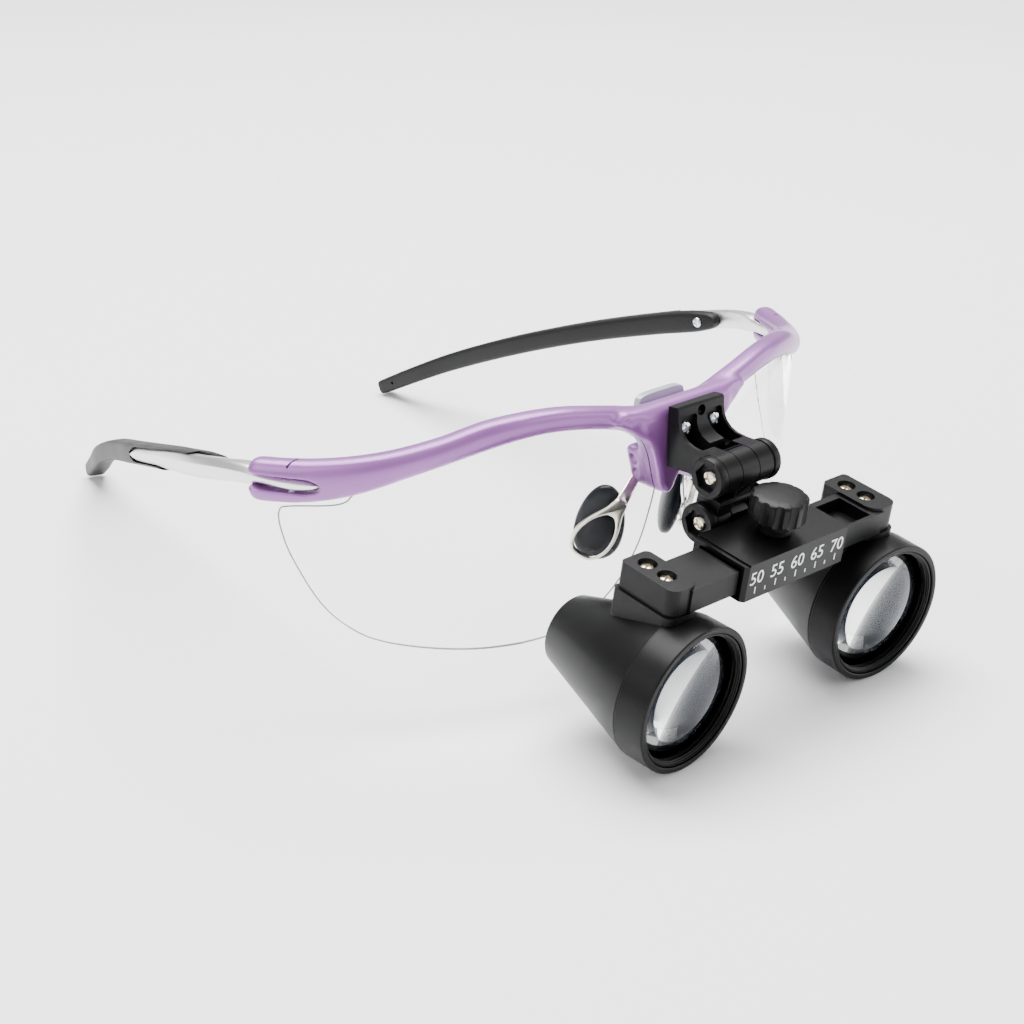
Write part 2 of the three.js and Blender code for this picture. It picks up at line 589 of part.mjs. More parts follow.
// bends a box that runs along +Y from 0 to 1 onto a stretch of the path; its x stays level
function bendAlong(box, curve, start, end, scale) {
  const place = box.attributes.position;
  const up = new THREE.Vector3(0, 0, 1);
  for (let i = 0; i < place.count; i += 1) {
    const t = start + place.getY(i) * (end - start);
    const tangent = curve.getTangentAt(t);
    const level = new THREE.Vector3().crossVectors(tangent, up).normalize();
    const lift = new THREE.Vector3().crossVectors(level, tangent);
    const grow = scale(place.getY(i));
    const point = curve.getPointAt(t);
    point.addScaledVector(level, place.getX(i) * grow);
    point.addScaledVector(lift, place.getZ(i) * grow);
    place.setXYZ(i, point.x, point.y, point.z);
  }
}

// a strip along the temple: its section runs from inward to outward and from low to high
function strip(temple, span, across, height, steps, scale = () => 1) {
  const [x0, x1] = spanX(temple.side, ...across);
  const box = new THREE.BoxGeometry(x1 - x0, 1, height, 1, steps, 1);
  box.translate((x0 + x1) / 2, 0.5, 0);
  bendAlong(box, temple.curve, span[0], span[1], scale);
  return solid(box);
}

function acrossTemple(temple, t, reach) {
  const tangent = temple.curve.getTangentAt(t);
  const level = new THREE.Vector3().crossVectors(tangent, new THREE.Vector3(0, 0, 1)).normalize();
  return temple.curve.getPointAt(t).addScaledVector(level, temple.side * reach);
}

const ARM = { end: 0.56, across: [0.1, 2.7], height: 3.1 };
const SLEEVE = { start: 0.13, across: [-2.4, 2.6], height: 4.6, screwAt: 0.165 };

function screwHole(temple, from, to) {
  return rodBetween(acrossTemple(temple, SLEEVE.screwAt, from), acrossTemple(temple, SLEEVE.screwAt, to), 0.9);
}

function templeArm(temple) {
  const taper = (s) => 0.75 + 0.25 * Math.min(1, Math.max(0, (s - 0.1) * 4));
  let arm = strip(temple, [0, ARM.end], ARM.across, ARM.height, 12, taper);
  arm = arm.add(rodZ(2.3, HINGE.z - 1.2, HINGE.z + 1.2, temple.side * HINGE.x, HINGE.y, 20));
  const nose = new THREE.Vector3(-5 * Math.cos(FORK.tangent), -5 * Math.sin(FORK.tangent), 0);
  nose.x *= temple.side;
  const pin = new THREE.Vector3(temple.side * HINGE.x, HINGE.y, HINGE.z);
  arm = arm.add(rodBetween(pin, pin.clone().add(nose), 1.2));
  arm = arm.subtract(rodZ(HINGE.pinRadius + GAP, 40, 60, temple.side * HINGE.x, HINGE.y, 12));
  return arm.subtract(screwHole(temple, -2, 1.2));
}

function templeSleeve(temple) {
  const taper = (s) => 1 - 0.2 * Math.max(0, (s - 0.9) * 10);
  let sleeve = strip(temple, [SLEEVE.start, 1], SLEEVE.across, SLEEVE.height, 16, taper);
  const channel = strip(temple, [0.1, ARM.end + 0.01], [-0.2, 4], ARM.height + 2 * GAP, 12);
  sleeve = sleeve.subtract(channel);
  return sleeve.subtract(screwHole(temple, -4, 1));
}

function sleeveScrew(temple) {
  const at = (reach) => acrossTemple(temple, SLEEVE.screwAt, reach);
  return rodBetween(at(-3.4), at(0.5), 0.6).add(rodBetween(at(-3.9), at(-3.4), 1.2));
}

function hingePin(side) {
  return rodZ(HINGE.pinRadius, 46.9, 52.6, side * HINGE.x, HINGE.y, 12);
}

for (const [name, side] of SIDES) {
  const points = TEMPLE_PATHS[name].map(([x, y, z]) => new THREE.Vector3(x, y, z));
  const temple = { side, curve: new THREE.CatmullRomCurve3(points) };
  piece(`temple_arm_${name}`, templeArm(temple), SATIN_SILVER);
  piece(`temple_sleeve_${name}`, templeSleeve(temple), BLACK_RUBBER);
  piece(`sleeve_screw_${name}`, sleeveScrew(temple), STEEL);
  piece(`temple_pin_${name}`, hingePin(side), STEEL);
}

// the origin sits under the middle of the whole object, on the table
const box = new THREE.Box3().setFromObject(model, true);
const middle = box.getCenter(new THREE.Vector3());
model.position.set(-middle.x, -middle.y, -box.min.z);

export default model;
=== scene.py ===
import math

import bmesh
import bpy
from mathutils import Matrix, Vector


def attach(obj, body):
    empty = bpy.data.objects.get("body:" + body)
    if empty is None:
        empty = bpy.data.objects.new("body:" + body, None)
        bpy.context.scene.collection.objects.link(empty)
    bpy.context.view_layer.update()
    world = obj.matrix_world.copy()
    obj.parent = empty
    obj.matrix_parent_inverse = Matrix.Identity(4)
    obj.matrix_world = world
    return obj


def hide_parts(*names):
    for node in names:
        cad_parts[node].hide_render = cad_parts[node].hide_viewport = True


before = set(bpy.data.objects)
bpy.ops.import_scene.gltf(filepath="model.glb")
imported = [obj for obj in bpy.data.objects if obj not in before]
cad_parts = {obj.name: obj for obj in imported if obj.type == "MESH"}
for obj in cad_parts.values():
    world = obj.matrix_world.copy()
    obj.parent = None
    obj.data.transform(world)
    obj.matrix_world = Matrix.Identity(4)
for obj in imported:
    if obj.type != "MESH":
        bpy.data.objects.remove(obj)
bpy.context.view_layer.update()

# ---- Table, light and camera -----------------------------------------
# The loupes lie on a plain pale table, on both front rims and both temple tips, under large soft
# lights. The camera looks from in front, a little above, over the wearer's right temple.
TABLE_TONE, TABLE_SHADE = (0.90, 0.90, 0.905), (0.84, 0.84, 0.85)

def shown(thing):
    bpy.context.scene.collection.objects.link(thing)
    return thing

def meshed(name, shape):
    mesh = bpy.data.meshes.new(name)
    shape.to_mesh(mesh)
    shape.free()
    return mesh

def fill(node, values):
    for socket, value in values.items():
        node.inputs[socket].default_value = value

def plain_table():
    top = bmesh.new()
    bmesh.ops.create_grid(top, x_segments=8, y_segments=8, size=4.0)
    mesh = meshed("table_top", top)
    table = shown(bpy.data.objects.new("table_top", mesh))
    paper = bpy.data.materials.new("pale_table")
    paper.use_nodes = True
    nodes, links = paper.node_tree.nodes, paper.node_tree.links
    shader = nodes["Principled BSDF"]
    where = nodes.new("ShaderNodeTexCoord")
    cloud = nodes.new("ShaderNodeTexNoise")
    fill(cloud, {"Scale": 3.0})
    shade = nodes.new("ShaderNodeMix")
    shade.data_type = "RGBA"
    fill(shade, {6: (*TABLE_TONE, 1), 7: (*TABLE_SHADE, 1)})
    links.new(where.outputs["Object"], cloud.inputs["Vector"])
    links.new(cloud.outputs["Fac"], shade.inputs["Factor"])
    links.new(shade.outputs[2], shader.inputs["Base Color"])
    fill(shader, {"Roughness": 0.55, "Specular IOR Level": 0.25})
    mesh.materials.append(paper)

plain_table()

def soft_light(name, place, aim, width, height, power):
    lamp = bpy.data.lights.new(name, "AREA")
    lamp.shape = "RECTANGLE"
    lamp.size = width
    lamp.size_y = height
    lamp.energy = power
    holder = shown(bpy.data.objects.new(name, lamp))
    holder.location = place
    holder.rotation_euler = (Vector(place) - Vector(aim)).to_track_quat("Z", "Y").to_euler()

soft_light("overhead_softbox", (0.15, 0.35, 1.3), (0, 0, 0), 1.5, 1.1, 78)
soft_light("left_softbox", (-1.3, 0.1, 0.75), (0, 0, 0.03), 0.9, 0.7, 8)
soft_light("front_fill", (0.5, -1.5, 0.8), (0, 0, 0.02), 1.2, 0.8, 8)
soft_light("right_softbox", (1.5, -0.9, 0.35), (0, 0, 0.03), 1.1, 0.7, 9)

world = bpy.data.worlds.new("pale_room")
world.use_nodes = True
fill(world.node_tree.nodes["Background"], {"Color": (0.93, 0.94, 0.96, 1), "Strength": 0.74})
bpy.context.scene.world = world

shift, rotation = Matrix.Translation, Matrix.Rotation

# millimetres from the drawing's datum, as the part is drawn, to metres on the table
MM = 0.001
DATUM = shift((0, 0.816 * MM, 0.008 * MM)) @ Matrix.Scale(MM, 4)

camera_data = bpy.data.cameras.new("camera")
camera_data.lens = 71.96
camera_data.sensor_width = 36.0
camera_data.clip_start = 0.01
camera = shown(bpy.data.objects.new("camera", camera_data))
camera.location = DATUM @ Vector((-277.0, -327.1, 192.1))
ROUND, RISE = math.radians(-42.263), math.radians(22.704)
away = Vector((math.sin(ROUND) * math.cos(RISE), -math.cos(ROUND) * math.cos(RISE), math.sin(RISE)))
camera.rotation_euler = away.to_track_quat("Z", "Y").to_euler()
bpy.context.scene.camera = camera

# ---- Brow bar --------------------------------------------------------
# One injection-moulded nylon bar with the nose bridge, painted in a pearl orchid lacquer. Each end
# is a fork whose slot takes the temple; the lenses clip into its lower edge.
WRAP_RADIUS = 72.0
WRAP_STRAIGHT = 8.0
WRAP_FRONT = -69.6
BAR_LENGTH = 89.2
BAR_TOP = ((0, 57.8), (8, 58.6), (17, 60.6), (29, 62.4), (41, 61.6), (50, 58.5), (58, 56.0), (66, 54.3),
           (74, 53.4))
BAR_LOW = ((0, 52.0), (10, 53.0), (15, 55.4), (24, 57.4), (32, 57.8), (40, 56.4), (52, 52.1), (62, 47.3),
           (68, 45.4), (74, 44.8))
SIDES = (("right", -1), ("left", 1))

def through(table, value):
    """Reads a table of (position, height) as a smooth curve."""
    last = len(table) - 1
    i = 1
    while i < last and table[i][0] < value:
        i += 1
    (x0, y0), (x1, y1) = table[i - 1], table[i]
    def slope(k):
        low, high = table[max(k - 1, 0)], table[min(k + 1, last)]
        return (high[1] - low[1]) / (high[0] - low[0])
    span = x1 - x0
    s = min(max((value - x0) / span, 0.0), 1.0)
    return (y0 * (2 * s**3 - 3 * s**2 + 1) + y1 * (3 * s**2 - 2 * s**3)
            + slope(i - 1) * span * (s**3 - 2 * s**2 + s) + slope(i) * span * (s**3 - s**2))

def wrapped(distance, offset):
    """The plan point at a distance along the wrap from the middle, moved back by an offset."""
    side = -1 if distance < 0 else 1
    reach = abs(distance)
    if reach < WRAP_STRAIGHT:
        return side * reach, WRAP_FRONT + offset
    turn = (reach - WRAP_STRAIGHT) / WRAP_RADIUS
    radius = WRAP_RADIUS - offset
    return side * (WRAP_STRAIGHT + radius * math.sin(turn)), WRAP_FRONT + WRAP_RADIUS - radius * math.cos(turn)

def swept(stations, around, ring_point):
    """A closed bar: a ring of points carried through the stations, with both ends filled."""
    shape = bmesh.new()
    bmesh.ops.create_grid(shape, x_segments=stations, y_segments=around, size=1.0)
    for vert in shape.verts:
        station = round((vert.co.x + 1) / 2 * stations)
        step = round((vert.co.y + 1) / 2 * around)
        vert.co = ring_point(station / stations, 2 * math.pi * (step % around) / around)
    bmesh.ops.remove_doubles(shape, verts=shape.verts, dist=0.0005)
    bmesh.ops.holes_fill(shape, edges=shape.edges, sides=0)
    bmesh.ops.recalc_face_normals(shape, faces=shape.faces)
    return shape

def rounded(value, power):
    return math.copysign(abs(value) ** power, value)

def brow_point(share, angle):
    distance = BAR_LENGTH * (2 * share - 1)
    middle = abs(wrapped(distance, 0)[0])
    top, low = through(BAR_TOP, middle), through(BAR_LOW, middle)
    end = min(1.0, (BAR_LENGTH - abs(distance)) / 2.2)
    grow = math.sqrt(max(0.0, 1 - (1 - end) ** 2)) * 0.75 + 0.25 if end < 1 else 1.0
    across = rounded(math.cos(angle), 0.55)
    up = rounded(math.sin(angle), 0.6)
    crease = 0.55 * max(0.0, 1 - abs(up - 0.1) / 0.9) * min(1.0, max(0.0, (middle - 26) / 24))
    offset = 0.7 + 2.45 * across * grow
    if across < 0:
        offset -= crease * -across
    x, y = wrapped(distance, offset)
    return Vector((x, y, (top + low) / 2 + (top - low) / 2 * up * grow))

PLANES = {"plan": Matrix.Identity(4),
          "front": Matrix(((1, 0, 0, 0), (0, 0, 1, 0), (0, 1, 0, 0), (0, 0, 0, 1))),
          "side": Matrix(((0, 0, 1, 0), (1, 0, 0, 0), (0, 1, 0, 0), (0, 0, 0, 1)))}

def prism(points, near, far, plane="plan"):
    """A flat outline pulled into a solid: plan is (x, y) up z, front (x, z) along y, side (y, z) along x."""
    shape = bmesh.new()
    face = shape.faces.new([shape.verts.new((a, b, near)) for a, b in points])
    pulled = bmesh.ops.extrude_face_region(shape, geom=[face])["geom"]
    bmesh.ops.translate(shape, verts=[v for v in pulled if isinstance(v, bmesh.types.BMVert)],
                        vec=(0, 0, far - near))
    bmesh.ops.transform(shape, matrix=PLANES[plane], verts=shape.verts)
    bmesh.ops.recalc_face_normals(shape, faces=shape.faces)
    return shape

def rod(radius, start, end, sides=32):
    shape = bmesh.new()
    axis = Vector(end) - Vector(start)
    place = shift((Vector(start) + Vector(end)) / 2) @ axis.to_track_quat("Z", "Y").to_matrix().to_4x4()
    bmesh.ops.create_cone(shape, cap_ends=True, segments=sides, radius1=radius, radius2=radius,
                          depth=axis.length, matrix=place)
    return shape

def block(low, high):
    shape = bmesh.new()
    size = Vector(high) - Vector(low)
    place = shift((Vector(low) + Vector(high)) / 2) @ Matrix.Diagonal((*size, 1))
    bmesh.ops.create_cube(shape, size=1.0, matrix=place)
    return shape

def moved(shape, place):
    bmesh.ops.transform(shape, matrix=place, verts=shape.verts)
    if place.determinant() < 0:
        bmesh.ops.recalc_face_normals(shape, faces=shape.faces)
    return shape

def soften(shape, width, segments=2, angle=32):
    """Rounds every edge that is sharper than the angle."""
    sharp = [e for e in shape.edges if e.is_manifold and e.calc_face_angle(0) > math.radians(angle)]
    bmesh.ops.bevel(shape, geom=sharp, offset=width, offset_type="OFFSET", segments=segments, profile=0.5,
                    affect="EDGES", clamp_overlap=True, material=-1)
    return shape

def blank(shape):
    return shown(bpy.data.objects.new("blank", meshed("blank", shape)))

def frozen(stand):
    bpy.context.view_layer.update()
    return bpy.data.meshes.new_from_object(stand.evaluated_get(bpy.context.evaluated_depsgraph_get()))

def settled(stand):
    """The stand's mesh with its modifiers applied, as a new shape; the stand is taken away."""
    mesh = frozen(stand)
    shape = bmesh.new()
    shape.from_mesh(mesh)
    bpy.data.meshes.remove(mesh)
    bpy.data.meshes.remove(stand.data)
    return shape

def fitted(body, *tools, how="DIFFERENCE", flat=True):
    """Cuts the tools out of the body, or joins them to it; flat runs level faces together."""
    stand = blank(body)
    held = [blank(tool) for tool in tools]
    for tool in held:
        cut = stand.modifiers.new("cut", "BOOLEAN")
        cut.operation = how
        cut.solver = "EXACT"
        cut.object = tool
    shape = settled(stand)
    for tool in held:
        bpy.data.meshes.remove(tool.data)
    bmesh.ops.remove_doubles(shape, verts=shape.verts, dist=0.002)
    if flat:
        bmesh.ops.dissolve_limit(shape, angle_limit=math.radians(0.5), verts=shape.verts, edges=shape.edges)
    return shape

def melted(body, grain, passes):
    """Runs a body's joins and edges together, as on a moulding."""
    stand = blank(body)
    skin = stand.modifiers.new("skin", "REMESH")
    skin.mode = "VOXEL"
    skin.voxel_size = grain
    calm = stand.modifiers.new("calm", "SMOOTH")
    calm.factor = 0.5
    calm.iterations = passes
    return settled(stand)

def piece(name, shape, body, finish, nodes, flat=True, sharp=35):
    """Puts a finished shape on the table as a piece of a body, in place of the CAD nodes it stands for."""
    bmesh.ops.transform(shape, matrix=DATUM, verts=shape.verts)
    mesh = meshed(name, shape)
    for face in mesh.polygons:
        face.use_smooth = True
    mesh.set_sharp_from_angle(angle=math.radians(sharp))
    mesh.materials.append(finish)
    made = shown(bpy.data.objects.new(name, mesh))
    if flat:
        made.modifiers.new("even_faces", "WEIGHTED_NORMAL").keep_sharp = True
    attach(made, body)
    if nodes:
        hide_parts(*nodes)
    return made

def fine_grain():
    """Fine moulding or casting grain: a soft mask and a bumped normal."""
    group = bpy.data.node_groups.new("fine_grain", "ShaderNodeTree")
    for socket, way, kind in (("Scale", "INPUT", "Float"), ("Depth", "INPUT", "Float"), ("Mask", "OUTPUT", "Float"),
                              ("Speck", "OUTPUT", "Float"), ("Normal", "OUTPUT", "Vector")):
        group.interface.new_socket(socket, in_out=way, socket_type="NodeSocket" + kind)
    nodes, links = group.nodes, group.links
    start = nodes.new("NodeGroupInput")
    end = nodes.new("NodeGroupOutput")
    where = nodes.new("ShaderNodeTexCoord")
    grain = nodes.new("ShaderNodeTexNoise")
    fill(grain, {"Detail": 3.0})
    patch = nodes.new("ShaderNodeTexNoise")
    fill(patch, {"Scale": 90.0})
    dots = nodes.new("ShaderNodeTexVoronoi")
    fill(dots, {"Scale": 420.0})
    near = nodes.new("ShaderNodeMapRange")
    fill(near, {"From Min": 0.05, "From Max": 0.03})
    blend = nodes.new("ShaderNodeMath")
    blend.operation = "MULTIPLY_ADD"
    fill(blend, {1: 0.5})
    half = nodes.new("ShaderNodeMath")
    half.operation = "MULTIPLY"
    fill(half, {1: 0.5})
    bump = nodes.new("ShaderNodeBump")
    fill(bump, {"Strength": 1.0})
    for texture in (grain, patch, dots):
        links.new(where.outputs["Object"], texture.inputs["Vector"])
    links.new(start.outputs["Scale"], grain.inputs["Scale"])
    links.new(patch.outputs["Fac"], half.inputs[0])
    links.new(grain.outputs["Fac"], blend.inputs[0])
    links.new(half.outputs["Value"], blend.inputs[2])
    links.new(start.outputs["Depth"], bump.inputs["Distance"])
    links.new(grain.outputs["Fac"], bump.inputs["Height"])
    links.new(dots.outputs["Distance"], near.inputs["Value"])
    links.new(blend.outputs["Value"], end.inputs["Mask"])
    links.new(near.outputs["Result"], end.inputs["Speck"])
    links.new(bump.outputs["Normal"], end.inputs["Normal"])
    return group

FINE_GRAIN = fine_grain()

def surface(name, colour, second, rough, smoothest, metallic=0.0, scale=4000.0, depth=0.00001, coat=0.0,
            specular=0.5, speck=None):
    """A finish that drifts between two colours and two roughnesses with the grain."""
    material = bpy.data.materials.new(name)
    material.use_nodes = True
    nodes, links = material.node_tree.nodes, material.node_tree.links
    shader = nodes["Principled BSDF"]
    grain = nodes.new("ShaderNodeGroup")
    grain.node_tree = FINE_GRAIN
    fill(grain, {"Scale": scale, "Depth": depth})
    tone = nodes.new("ShaderNodeMix")
    tone.data_type = "RGBA"
    fill(tone, {6: (*colour, 1), 7: (*second, 1)})
    polish = nodes.new("ShaderNodeMapRange")
    fill(polish, {"From Min": 0.3, "From Max": 0.7, "To Min": smoothest, "To Max": rough})
    links.new(grain.outputs["Mask"], tone.inputs["Factor"])
    links.new(grain.outputs["Mask"], polish.inputs["Value"])
    links.new(polish.outputs["Result"], shader.inputs["Roughness"])
    links.new(grain.outputs["Normal"], shader.inputs["Normal"])
    out = tone.outputs[2]
    if speck:
        dust = nodes.new("ShaderNodeMix")
        dust.data_type = "RGBA"
        fill(dust, {7: (*speck, 1)})
        links.new(grain.outputs["Speck"], dust.inputs["Factor"])
        links.new(out, dust.inputs[6])
        out = dust.outputs[2]
    links.new(out, shader.inputs["Base Color"])
    fill(shader, {"Metallic": metallic, "Coat Weight": coat, "Coat Roughness": 0.06, "Specular IOR Level": specular})
    return material

PEARL_ORCHID = surface("pearl_orchid_lacquer", (0.235, 0.078, 0.290), (0.310, 0.115, 0.370), 0.46, 0.32,
                       metallic=0.5, scale=9000.0, depth=0.000005, coat=0.3)

FORK_TURN = math.radians(57)
HINGE = Vector((68.5, -36.5, 49.4))

def fork_place(side):
    place = shift(HINGE) @ rotation(FORK_TURN, 4, "Z")
    return Matrix.Diagonal((side, 1, 1, 1)) @ place

def fork_slot(side):
    nose = [(-6.3, 0.0), (-5.6, 0.8), (-4.4, 1.3), (-2.6, 1.55), (16, 1.6), (16, -1.6), (-2.6, -1.55),
            (-4.4, -1.3), (-5.6, -0.8)]
    return moved(prism(nose, -8, 8, "front"), fork_place(side))

BRIDGE_HALF = ((0, 45.4), (1.8, 44.6), (3.0, 42.6), (3.9, 41), (5, 40.6), (6.1, 41.1), (6.9, 42.6), (7.5, 45),
               (8.2, 48), (9.2, 50.8), (11, 53.6), (12, 55.0), (12.4, 58.4))
BRIDGE_FRONT, BRIDGE_REAR = -73.6, -67.7
SHOULDERS = ((-72.9, ((13.5, 59), (15.6, 57.3), (11.8, 53.2))), (-72.2, ((16, 59.6), (18.6, 58), (13, 54.4))))

def mirrored(half):
    """A full outline from its half on the wearer's left."""
    return [(-x, z) for x, z in reversed(half) if x] + list(half)

def brow_bar():
    bar = swept(260, 32, brow_point)
    bridge = soften(prism(mirrored(BRIDGE_HALF), BRIDGE_FRONT, BRIDGE_REAR, "front"), 1.5, 3)
    shoulders = [prism([(-x, z) for x, z in edge] + [(x, z) for x, z in reversed(edge)], front, -69, "front")
                 for front, edge in SHOULDERS]
    feet = []
    for _, side in SIDES:
        foot = [(side * x, z) for x, z in ((2.9, 41), (5, 40.6), (6.6, 41.6), (7.4, 45), (8.6, 49.5), (3.4, 49.5))]
        feet.append(soften(prism(foot, -68.7, -63.7, "front"), 0.8, 2))
    bar = melted(fitted(bar, bridge, *shoulders, *feet, how="UNION"), 0.35, 40)
    slots = [fork_slot(side) for _, side in SIDES]
    hollows = []
    for _, side in SIDES:
        for height, reach in ((46.6, 8.3), (43.6, 7.6)):
            spot = shift((side * reach, -65.9, height)) @ rotation(math.radians(90), 4, "Y")
            hollows.append(moved(rod(1.0, (0, 0, -1.2), (0, 0, 1.2)), spot @ Matrix.Diagonal((1.25, 1, 1, 1))))
    bar = melted(fitted(bar, *slots, *hollows), 0.3, 8)
    grooves = []
    for _, side in SIDES:
        inner = [(side * x, z) for x, z in ((0, 70), (14.0, 70), (12.6, 55.4), (10.6, 53.4), (8.8, 50.7),
                 (7.8, 48), (7.1, 45), (6.5, 42.6), (5.8, 41.5), (0, 41.5))]
        outer = block((min(side * 0.1, side * 12.4), -71.0, 38), (max(side * 0.1, side * 12.4), -70.72, 54.6))
        grooves.append(fitted(outer, prism(inner, -72, -70, "front")))
        grooves.append(block((side * HINGE.x - 1.5, -37.2, 51.9), (side * HINGE.x + 1.5, -36.8, 56)))
    return fitted(bar, *grooves, flat=False)

piece("brow_bar_moulding", brow_bar(), "frame", PEARL_ORCHID, ["brow_bar"], flat=False, sharp=50)

# ---- Lenses ----------------------------------------------------------
# Two wrap lenses moulded in clear polycarbonate, 1.5 mm thick. Their top edge clips into the bar and a
# notch at the outer end locks them; the lower edge is free.
LENS_EDGE = ((4.2, 41), (6.4, 42), (7.6, 46), (9.0, 51), (12, 55.4), (18, 58.0), (24, 59.6), (32, 60.1), (40, 59.2),
             (52, 54.8), (59.6, 50.8), (61.4, 47.6), (62.2, 46.2), (64, 45.3), (68.6, 44.5), (69.8, 43.4), (69.6, 39.5),
             (68.2, 33.2), (64.9, 24.4), (61, 19.2), (56.2, 16.3), (46.4, 14.2), (37, 13.5), (27, 14),
             (19, 16.6), (12.5, 21.5), (7.8, 28), (5.6, 34))
LENS_THICK = 1.5
LENS_LEAN = 0.1
LENS_LEAN_FROM = 50.5

def looped(points, parts):
    """A closed outline with its corners eased."""
    count = len(points)
    eased = []
    for i in range(count):
        a, b, c, d = (Vector(points[(i + k) % count]) for k in (-1, 0, 1, 2))
        for k in range(parts):
            t = k / parts
            eased.append(0.5 * (2 * b + (c - a) * t + (2 * a - 5 * b + 4 * c - d) * t**2
                                + (3 * b - a - 3 * c + d) * t**3))
    return eased

def wrap_lens(side):
    band = []
    for offset, shares in ((-LENS_THICK / 2, range(121)), (LENS_THICK / 2, range(120, -1, -1))):
        for share in shares:
            x = 2 + 69.5 * share / 120
            reach = max(0.0, x - WRAP_STRAIGHT)
            radius = WRAP_RADIUS - offset
            band.append((side * x, WRAP_FRONT + WRAP_RADIUS - math.sqrt(radius**2 - reach**2)))
    lean = Matrix(((1, 0, 0, 0), (0, 1, -LENS_LEAN, LENS_LEAN_FROM * LENS_LEAN), (0, 0, 1, 0), (0, 0, 0, 1)))
    sheet = moved(prism(band, 5, 65), lean)
    edge = prism([(side * x, z) for x, z in looped(LENS_EDGE, 5)], -90, -20, "front")
    return soften(fitted(sheet, edge, how="INTERSECT", flat=False), 0.22, 2, 50)

# Radius of the grey line laid along each lens outline; its grey is painted shade, not a colour of the polycarbonate.
SHADE_LINE_RADIUS = 0.16

def cut_edge(side):
    """A thin grey tube at a lens's edge, along its outline: painted shade for the dark line a clear edge shows."""
    outline = looped(LENS_EDGE, 5)
    def on_sheet(i):
        x, z = outline[i % len(outline)]
        reach = max(0.0, x - WRAP_STRAIGHT)
        back = WRAP_FRONT + WRAP_RADIUS - math.sqrt(WRAP_RADIUS**2 - reach**2)
        return Vector((side * x, back - LENS_LEAN * (z - LENS_LEAN_FROM), z))
    def section(share, angle):
        i = round(share * len(outline))
        heading = (on_sheet(i + 1) - on_sheet(i - 1)).normalized()
        across = heading.cross(Vector((0, 1, 0))).normalized()
        return on_sheet(i) + SHADE_LINE_RADIUS * (across * math.cos(angle) + heading.cross(across) * math.sin(angle))
    return swept(len(outline), 8, section)

def see_through(name, tint, index, shadow, rough=0.015, coat=0.0, glint=(1, 1, 1)):
    """Clear material with plain refraction, that lets the light of the lamps pass straight on."""
    material = bpy.data.materials.new(name)
    material.use_nodes = True
    nodes, links = material.node_tree.nodes, material.node_tree.links
    shader = nodes["Principled BSDF"]
    fill(shader, {"Base Color": (*tint, 1), "IOR": index, "Transmission Weight": 1.0, "Specular Tint": (*glint, 1),
                  "Coat Weight": coat, "Coat Roughness": 0.0, "Coat IOR": 1.45})
    grain = nodes.new("ShaderNodeGroup")
    grain.node_tree = FINE_GRAIN
    fill(grain, {"Scale": 60.0, "Depth": 0.00001})
    polish = nodes.new("ShaderNodeMapRange")
    fill(polish, {"To Max": rough})
    links.new(grain.outputs["Mask"], polish.inputs["Value"])
    links.new(polish.outputs["Result"], shader.inputs["Roughness"])
    path = nodes.new("ShaderNodeLightPath")
    clear = nodes.new("ShaderNodeBsdfTransparent")
    fill(clear, {"Color": (*shadow, 1)})
    choose = nodes.new("ShaderNodeMixShader")
    links.new(path.outputs["Is Shadow Ray"], choose.inputs["Fac"])
    links.new(shader.outputs["BSDF"], choose.inputs[1])
    links.new(clear.outputs["BSDF"], choose.inputs[2])
    links.new(choose.outputs["Shader"], nodes["Material Output"].inputs["Surface"])
    return material

CLEAR_LENS = see_through("clear_polycarbonate", (0.985, 0.99, 0.99), 1.04, (0.93, 0.93, 0.935), coat=0.12)
# Painted shade: a grey line laid along each lens edge, standing for the dark line a clear edge shows.
EDGE_LINE_PAINTED_SHADE = surface("lens_edge_painted_shade", (0.20, 0.205, 0.205), (0.30, 0.305, 0.31), 0.6, 0.45, specular=0.3)
for name, side in SIDES:
    piece(f"wrap_lens_{name}", wrap_lens(side), "frame", CLEAR_LENS, [f"lens_{name}"], flat=False)
    piece(f"lens_edge_painted_shade_{name}", cut_edge(side), "frame", EDGE_LINE_PAINTED_SHADE, [], flat=False)

# ---- Temples ---------------------------------------------------------
# Each temple is a satin aluminium arm with three long facets and a pointed end that closes the fork's
# slot, pushed into a soft black sleeve that splits round the arm and is held by one small screw.
TEMPLE_LINES = {
    "right": ((-68.5, -36.5, 49.4), (-70.8, -25, 49), (-69.4, -9, 45.2), (-64.4, 9, 40), (-58, 27, 34),
              (-51, 47, 27.3), (-44, 66.5, 20.6), (-39.5, 80, 14.6), (-34, 92.5, 7.2), (-30, 102, 1.62)),
    "left": ((68.5, -36.5, 49.4), (70.8, -25, 49), (70, -11, 46), (69.4, 9, 40.2), (68.2, 28, 34),
             (66.8, 51, 25.4), (65.6, 74, 15.6), (64.6, 88, 8.8), (63.8, 102, 1.63))}
ARM_NOSE = 6.0
ARM_HALF = ((0, 0.12), (0.7, 0.55), (2, 1.0), (4, 1.2), (6, 1.25), (12.6, 1.3), (15.6, 1.9), (42, 2.25), (67, 1.8),
            (85, 1.6), (88.5, 1.2), (90, 0.2))
ARM_OUT = ((0, 0.6), (1.5, 1.5), (6, 1.9), (17, 2.4), (27, 2.6), (92, 2.6))
ARM_IN = ((0, -0.2), (2, -1.6), (6, -1.9), (15, -1.6), (24, -0.1), (92, -0.1))
SLEEVE_HALF = ((0, 0.4), (0.6, 1.3), (1.8, 1.9), (3.5, 2.2), (8, 2.62), (20, 2.6), (50, 2.45), (90, 2.4), (116, 2.15),
               (126, 2.0), (132, 1.9))

